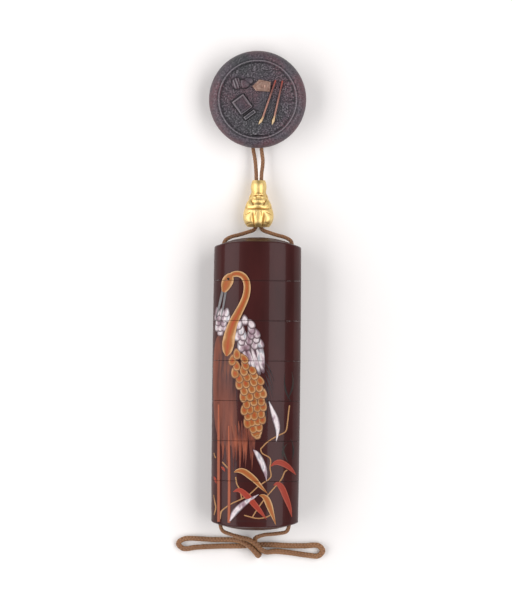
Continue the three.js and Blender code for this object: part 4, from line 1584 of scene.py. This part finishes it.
def egg_height(x, y, half, height):
    return height * np.sqrt(np.clip(1 - (x / half[0]) ** 2 - (y / half[1]) ** 2, 0, 1))


def value_noise(x, y, size, seed):
    """Soft lumps of about the given size, from -1 to 1, the same on every run."""
    random_source = np.random.default_rng(seed)
    table = random_source.uniform(-1, 1, (96, 96))
    u, v = x / size + 48, y / size + 48
    i, j = np.floor(u).astype(int), np.floor(v).astype(int)
    fu, fv = smooth_step(u - i, 0, 1), smooth_step(v - j, 0, 1)
    at = lambda a, b: table[a % 96, b % 96]
    low = at(i, j) * (1 - fu) + at(i + 1, j) * fu
    high = at(i, j + 1) * (1 - fu) + at(i + 1, j + 1) * fu
    return low * (1 - fv) + high * fv


def writing_things(x, y):
    """The ink stone, its ink stick and the folded packet, above the field."""
    along, across = turned(x, y, (-5.9, -2.0), -53)
    wear = 0.05 * value_noise(x, y, 0.5, 5) + 0.05 * value_noise(x, y, 1.3, 6)
    stone = block_height(along, across, (3.15, 2.85), 1.2)
    stone -= block_height(along + 0.3, across, (2.3, 2.15), 0.24, slope=0.5) * (stone > 0.6)
    bar = block_height(along - 2.9, across, (0.45, 2.6), 1.5, slope=0.4, corner=0.42)
    stick = block_height(along - 4.9, across, (0.85, 2.65), 1.1, corner=0.25)
    stick -= block_height(along - 4.9, across, (0.45, 2.2), 0.12, slope=0.1) * (stick > 0.8)
    lumps = [
        egg_height(x + 8.0, y - 6.0, (2.0, 2.2), 1.2), egg_height(x + 5.4, y - 5.8, (2.4, 1.7), 1.35),
        egg_height(x + 3.6, y - 6.9, (1.9, 1.3), 0.9),
    ]
    pleats = 0.12 * np.sin((x + 0.35 * y) * 5.2) * (x < -6.6)
    packet = np.maximum.reduce(lumps)
    fold = -0.3 * np.exp(-(((x + 6.6) + 0.25 * (y - 6)) / 0.22) ** 2)
    packet = packet + (packet > 0.3) * (pleats + fold)
    things = np.maximum.reduce([stone, bar, stick, packet])
    return things + wear * (things > 0.5)


def front_height(x, y):
    """Height of the carved front over the table, in millimetres."""
    radius = np.hypot(x, y)
    shoulder = np.clip((radius - (TOGGLE_RADIUS - TOGGLE_SHOULDER)) / TOGGLE_SHOULDER, 0, 1)
    rim = TOGGLE_WAIST + (TOGGLE_RIM_HEIGHT - TOGGLE_WAIST) * np.sqrt(np.maximum(1 - shoulder**2, 0))
    ridge = (TOGGLE_RIDGE[1] - TOGGLE_RIM_HEIGHT) * np.exp(-(((radius - TOGGLE_RIDGE[0]) / 0.32) ** 2))
    inside = 1 - smooth_step(radius, TOGGLE_FIELD[0] - 0.5, TOGGLE_FIELD[0] + 0.2)
    height = rim + ridge - (TOGGLE_RIM_HEIGHT - TOGGLE_FIELD[1]) * inside
    # Clouds of slightly raised ground, and the punched dots of the whole front.
    clouds = value_noise(x, y, 3.1, 1) + 0.5 * value_noise(x, y, 1.5, 2)
    ground = 0.2 * smooth_step(clouds, 0.1, 0.5) * inside
    punched = 0.11 * value_noise(x, y, 0.42, 3) + 0.07 * value_noise(x, y, 0.23, 4)
    fade = 1 - smooth_step(radius, TOGGLE_RADIUS - 1.2, TOGGLE_RADIUS)
    punched = punched * fade * (0.55 + 0.45 * inside)
    slot = -0.35 * np.exp(-((y + 13.75) / 0.22) ** 2) * (1 - smooth_step(np.abs(x - 0.1), 1.6, 2.4))
    things = writing_things(x, y)
    bare = 1 - smooth_step(things, 0.05, 0.4)
    return height + (ground + punched) * bare + slot + things


# %% The disc
TOGGLE_BORE_RADIUS = 1.15 * MM
TOGGLE_BORE_HEIGHT = 3.3 * MM
TOGGLE_BORE_SPREAD = (1.45, 3.0)
TOGGLE_BORE_DEPTH = 12.5
BACK_HOLE_RADIUS = 1.5 * MM


def on_toggle(x, y, z):
    """A place on the toggle, from millimetres measured from the middle of its underside."""
    middle_x, middle_y = TOGGLE_CENTRE
    return np.stack(np.broadcast_arrays(middle_x + x * MM, middle_y + y * MM, z * MM), axis=-1)


def toggle_disc():
    turns = np.linspace(0, 2 * math.pi, TOGGLE_SIDES, endpoint=False)
    c, s = np.cos(turns), np.sin(turns)
    rings = [on_toggle(r * c, r * s, 0) for r in (2, 6, TOGGLE_FLAT_RADIUS)]
    wide = TOGGLE_RADIUS - TOGGLE_FLAT_RADIUS
    for angle in np.linspace(-math.pi / 2, 0, 20)[1:]:
        radius = TOGGLE_FLAT_RADIUS + wide * math.cos(angle)
        rings.append(on_toggle(radius * c, radius * s, TOGGLE_WAIST * (1 + math.sin(angle))))
    # Close rings where the shoulder is steep, and an even step over the front.
    steep = [TOGGLE_RADIUS - TOGGLE_SHOULDER * (1 - math.sin(a)) for a in np.linspace(math.pi / 2, 0, 30)[1:]]
    for radius in [*steep, *np.arange(TOGGLE_RADIUS - TOGGLE_SHOULDER, 0.3, -FRONT_STEP)[1:]]:
        x, y = radius * c, radius * s
        rings.append(on_toggle(x, y, front_height(x, y)))
    return loft("carved_toggle", rings)


def rod(start, end, radius, sides=24):
    """A round rod between two points, for drilling."""
    start, end = Vector(start), Vector(end)
    turn = (end - start).to_track_quat("Z", "Y")
    rings = []
    for share in (0, 1):
        centre = start.lerp(end, share)
        rings.append(np.array([
            centre + turn @ Vector((radius * math.cos(a), radius * math.sin(a), 0))
            for a in np.linspace(0, 2 * math.pi, sides, endpoint=False)
        ]))
    return loft("rod", rings)


def toggle_drills():
    spread, deep_spread = TOGGLE_BORE_SPREAD
    slope = (deep_spread - spread) / TOGGLE_BORE_DEPTH
    drills = []
    for side in (-1, 1):
        deep = on_toggle(side * deep_spread, -6.0, TOGGLE_BORE_HEIGHT / MM)
        outside = on_toggle(side * (spread - 3 * slope), -TOGGLE_RADIUS - 3, TOGGLE_BORE_HEIGHT / MM)
        drills.append(rod(outside, deep, TOGGLE_BORE_RADIUS))
        drills.append(rod((deep[0], deep[1], -MM), deep, BACK_HOLE_RADIUS))
    return drills


# %% [markdown]
# ### Dark wood
#
# The wood is stained nearly black, with purple and maroon where the stain is thin and grey-green in other
# patches. Shade is painted into the hollows, which are made nearly black. The high points are rubbed to a
# soft shine: smoother, and painted lighter grey, which is partly wear and partly a painted highlight. Broad
# patches of colour come from slow noise, and the speckle from the carved relief itself.

# %% The wood


def carved_wood_material():
    material, t, shader = new_material("carved_wood", roughness=0.5)
    shader.inputs["Specular IOR Level"].default_value = 0.45
    place = object_place(t)
    patch = noise_at(t, place, 75.0, detail=2.0)
    patches = ramp(t, patch, [
        (0.34, (0.034, 0.036, 0.038)), (0.46, (0.052, 0.040, 0.050)), (0.6, (0.085, 0.036, 0.044)),
    ])
    speckle = noise_at(t, place, 1500.0, detail=3.0)
    speckled = mixed(t, 1.0, patches, ramp(t, speckle, [(0.3, (0.45, 0.45, 0.5)), (0.7, (1.5, 1.45, 1.45))]),
                     "MULTIPLY")
    hollow = attribute(t, "hollow")
    rubbed = attribute(t, "rubbed")
    # Painted shade: the hollows are mixed to near black.
    dark = mixed(t, hollow, speckled, (0.010, 0.008, 0.010, 1))
    # The rubbed high points are painted lighter grey: partly wear, partly a painted highlight.
    t.feed(shader.inputs["Base Color"], mixed(t, rubbed, dark, (0.20, 0.18, 0.19, 1)))
    t.feed(shader.inputs["Roughness"], t.math("MULTIPLY_ADD", rubbed, -0.18, 0.55))
    bump = t.add("ShaderNodeBump", 0.3, 0.00004)
    t.feed(bump.node.inputs["Height"], speckle)
    t.feed(shader.inputs["Normal"], bump)
    return material


wood_drills = toggle_drills()
disc = drilled(toggle_disc(), wood_drills)
for tool in wood_drills:
    bpy.data.objects.remove(tool)
disc.data.materials.clear()
disc.data.materials.append(carved_wood_material())
relief = hollows(disc, 8)
# Masks from the relief: painted shade in the hollows, and the rubbed high points with their painted
# highlight.
store(disc, "hollow", np.clip(relief / (0.05 * MM), 0, 1))
store(disc, "rubbed", np.clip(-relief / (0.10 * MM), 0, 1) ** 2 * 0.8)
shade(disc, 60)
settle(disc, "carved_disc", "netsuke")

# %% [markdown]
# ## The plaque and the brushes
#
# A copper plaque and two writing brushes are laid into the toggle. They are separate pieces on the real
# thing too: beaten metal and turned shafts, set in the carved field. The plaque is a bevelled plate with a
# line engraved parallel to its edge, and a round boss. Each brush is turned: a profile for its shaft and
# one for its hair.

# %% The copper plaque
PLAQUE_OUTLINE = [(-2.1, 5.0), (0.6, 7.6), (5.0, 6.7), (4.6, 2.9), (-0.6, 3.2)]
PLAQUE_MIDDLE = (2.2, 5.0)
PLAQUE_BASE = 10.8
PLAQUE_STEPS = [                    # (share of the outline, height above the base)
    (1.0, 0.0), (1.0, 0.5), (0.93, 0.7), (0.80, 0.7), (0.77, 0.55), (0.72, 0.55), (0.69, 0.7),
]
BOSS_STEPS = [(1.0, 0.70), (0.95, 0.62), (0.7, 0.62), (0.62, 0.9), (0.5, 0.95), (0.36, 0.95), (0.3, 0.78),
              (0.18, 0.78), (0.12, 0.92)]   # (radius in millimetres, height above the base)


def plaque():
    corners = np.array(PLAQUE_OUTLINE)
    outline = []
    for start, end in zip(corners, np.roll(corners, -1, axis=0)):
        outline += [start + (end - start) * t for t in np.linspace(0, 1, 8, endpoint=False)]
    outline = np.array(outline)
    middle = np.array(PLAQUE_MIDDLE)
    from_middle = outline - middle
    direction = from_middle / np.linalg.norm(from_middle, axis=1)[:, None]
    rings = []
    for share, height in PLAQUE_STEPS:
        flat = middle + from_middle * share
        rings.append(on_toggle(flat[:, 0], flat[:, 1], PLAQUE_BASE + height))
    for radius, height in BOSS_STEPS:
        flat = middle + direction * radius
        rings.append(on_toggle(flat[:, 0], flat[:, 1], PLAQUE_BASE + height))
    return loft("copper_plaque", rings)


def copper_material():
    material, t, shader = new_material("copper", metallic=0.75, roughness=0.38)
    tone = noise_at(t, object_place(t), 700.0, detail=4.0)
    metal = ramp(t, tone, [(0.3, (0.30, 0.17, 0.13)), (0.7, (0.56, 0.38, 0.30))])
    t.feed(shader.inputs["Base Color"], metal)
    return material


plate = plaque()
plate.data.materials.append(copper_material())
shade(plate, 30)
settle(plate, "copper", "plaque")

# %% The brushes
BRUSH_HEIGHT = 11.18
BRUSHES = {                         # shaft end, ferrule, tip of the hair
    "left": ((6.8, 7.4), (1.9, -7.3), (0.5, -9.5)),
    "right": ((9.4, 7.2), (6.4, -6.9), (5.6, -9.6)),
}
SHAFT_PROFILE = [(0.0, 0.24), (0.02, 0.31), (0.1, 0.33), (0.55, 0.36), (0.93, 0.37), (0.94, 0.30),
                 (0.95, 0.38)]
HAIR_PROFILE = [(0.0, 0.38), (0.06, 0.33), (0.3, 0.54), (0.45, 0.55), (0.7, 0.38), (0.9, 0.18), (1.0, 0.07)]


def brush(name, shaft_end, ferrule, tip, sides=16):
    """A turned shaft from its end to the ferrule, and a pointed tuft of hair from there to the tip."""
    rings = []
    for profile, start, end in ((SHAFT_PROFILE, shaft_end, ferrule), (HAIR_PROFILE, ferrule, tip)):
        start, end = Vector((*start, BRUSH_HEIGHT)), Vector((*end, BRUSH_HEIGHT))
        turn = (end - start).to_track_quat("Z", "Y")
        for share, radius in profile:
            centre = start.lerp(end, share)
            ring = [centre + turn @ Vector((radius * math.cos(a), radius * math.sin(a), 0))
                    for a in np.linspace(0, 2 * math.pi, sides, endpoint=False)]
            rings.append(on_toggle(*np.array(ring).T))
    print(name, "shaft, mm:", round(math.dist(shaft_end, ferrule), 1))
    return loft(name, rings)


def brush_material():
    """A dark red shaft that warms to copper, and cream hair. The place along the brush tells which."""
    material, t, shader = new_material("brush", metallic=0.3, roughness=0.4)
    end = attribute(t, "reach")
    grain = noise_at(t, t.vector("MULTIPLY", object_place(t), (1.0, 0.2, 1.0)), 2500.0)
    colour = ramp(t, end, [
        (0.0, (0.34, 0.05, 0.03)), (0.12, (0.16, 0.05, 0.04)), (0.3, (0.34, 0.16, 0.12)),
        (0.45, (0.38, 0.19, 0.14)),
        (0.5, (0.62, 0.42, 0.22)), (1.0, (0.74, 0.56, 0.32)),
    ])
    worn = mixed(t, t.math("MULTIPLY", grain, 0.4), colour, (0.12, 0.05, 0.035, 1))
    t.feed(shader.inputs["Base Color"], worn)
    return material


brush_finish = brush_material()
for side, (shaft_end, ferrule, tip) in BRUSHES.items():
    made = brush(f"turned_brush_{side}", shaft_end, ferrule, tip)
    top, foot, bristle = (np.array(TOGGLE_CENTRE) + np.array(p) * MM for p in (shaft_end, ferrule, tip))
    flat = points_of(made)[:, :2]
    on_shaft = np.linalg.norm(flat - top, axis=1) / np.linalg.norm(foot - top)
    on_hair = np.linalg.norm(flat - foot, axis=1) / np.linalg.norm(bristle - foot)
    reach = np.where(on_shaft < 1.0, on_shaft * 0.49, 0.5 + 0.5 * on_hair)
    made.data.materials.append(brush_finish)
    store(made, "reach", np.clip(reach, 0, 1))
    shade(made, 40)
    settle(made, "copper", f"brush_{side}")
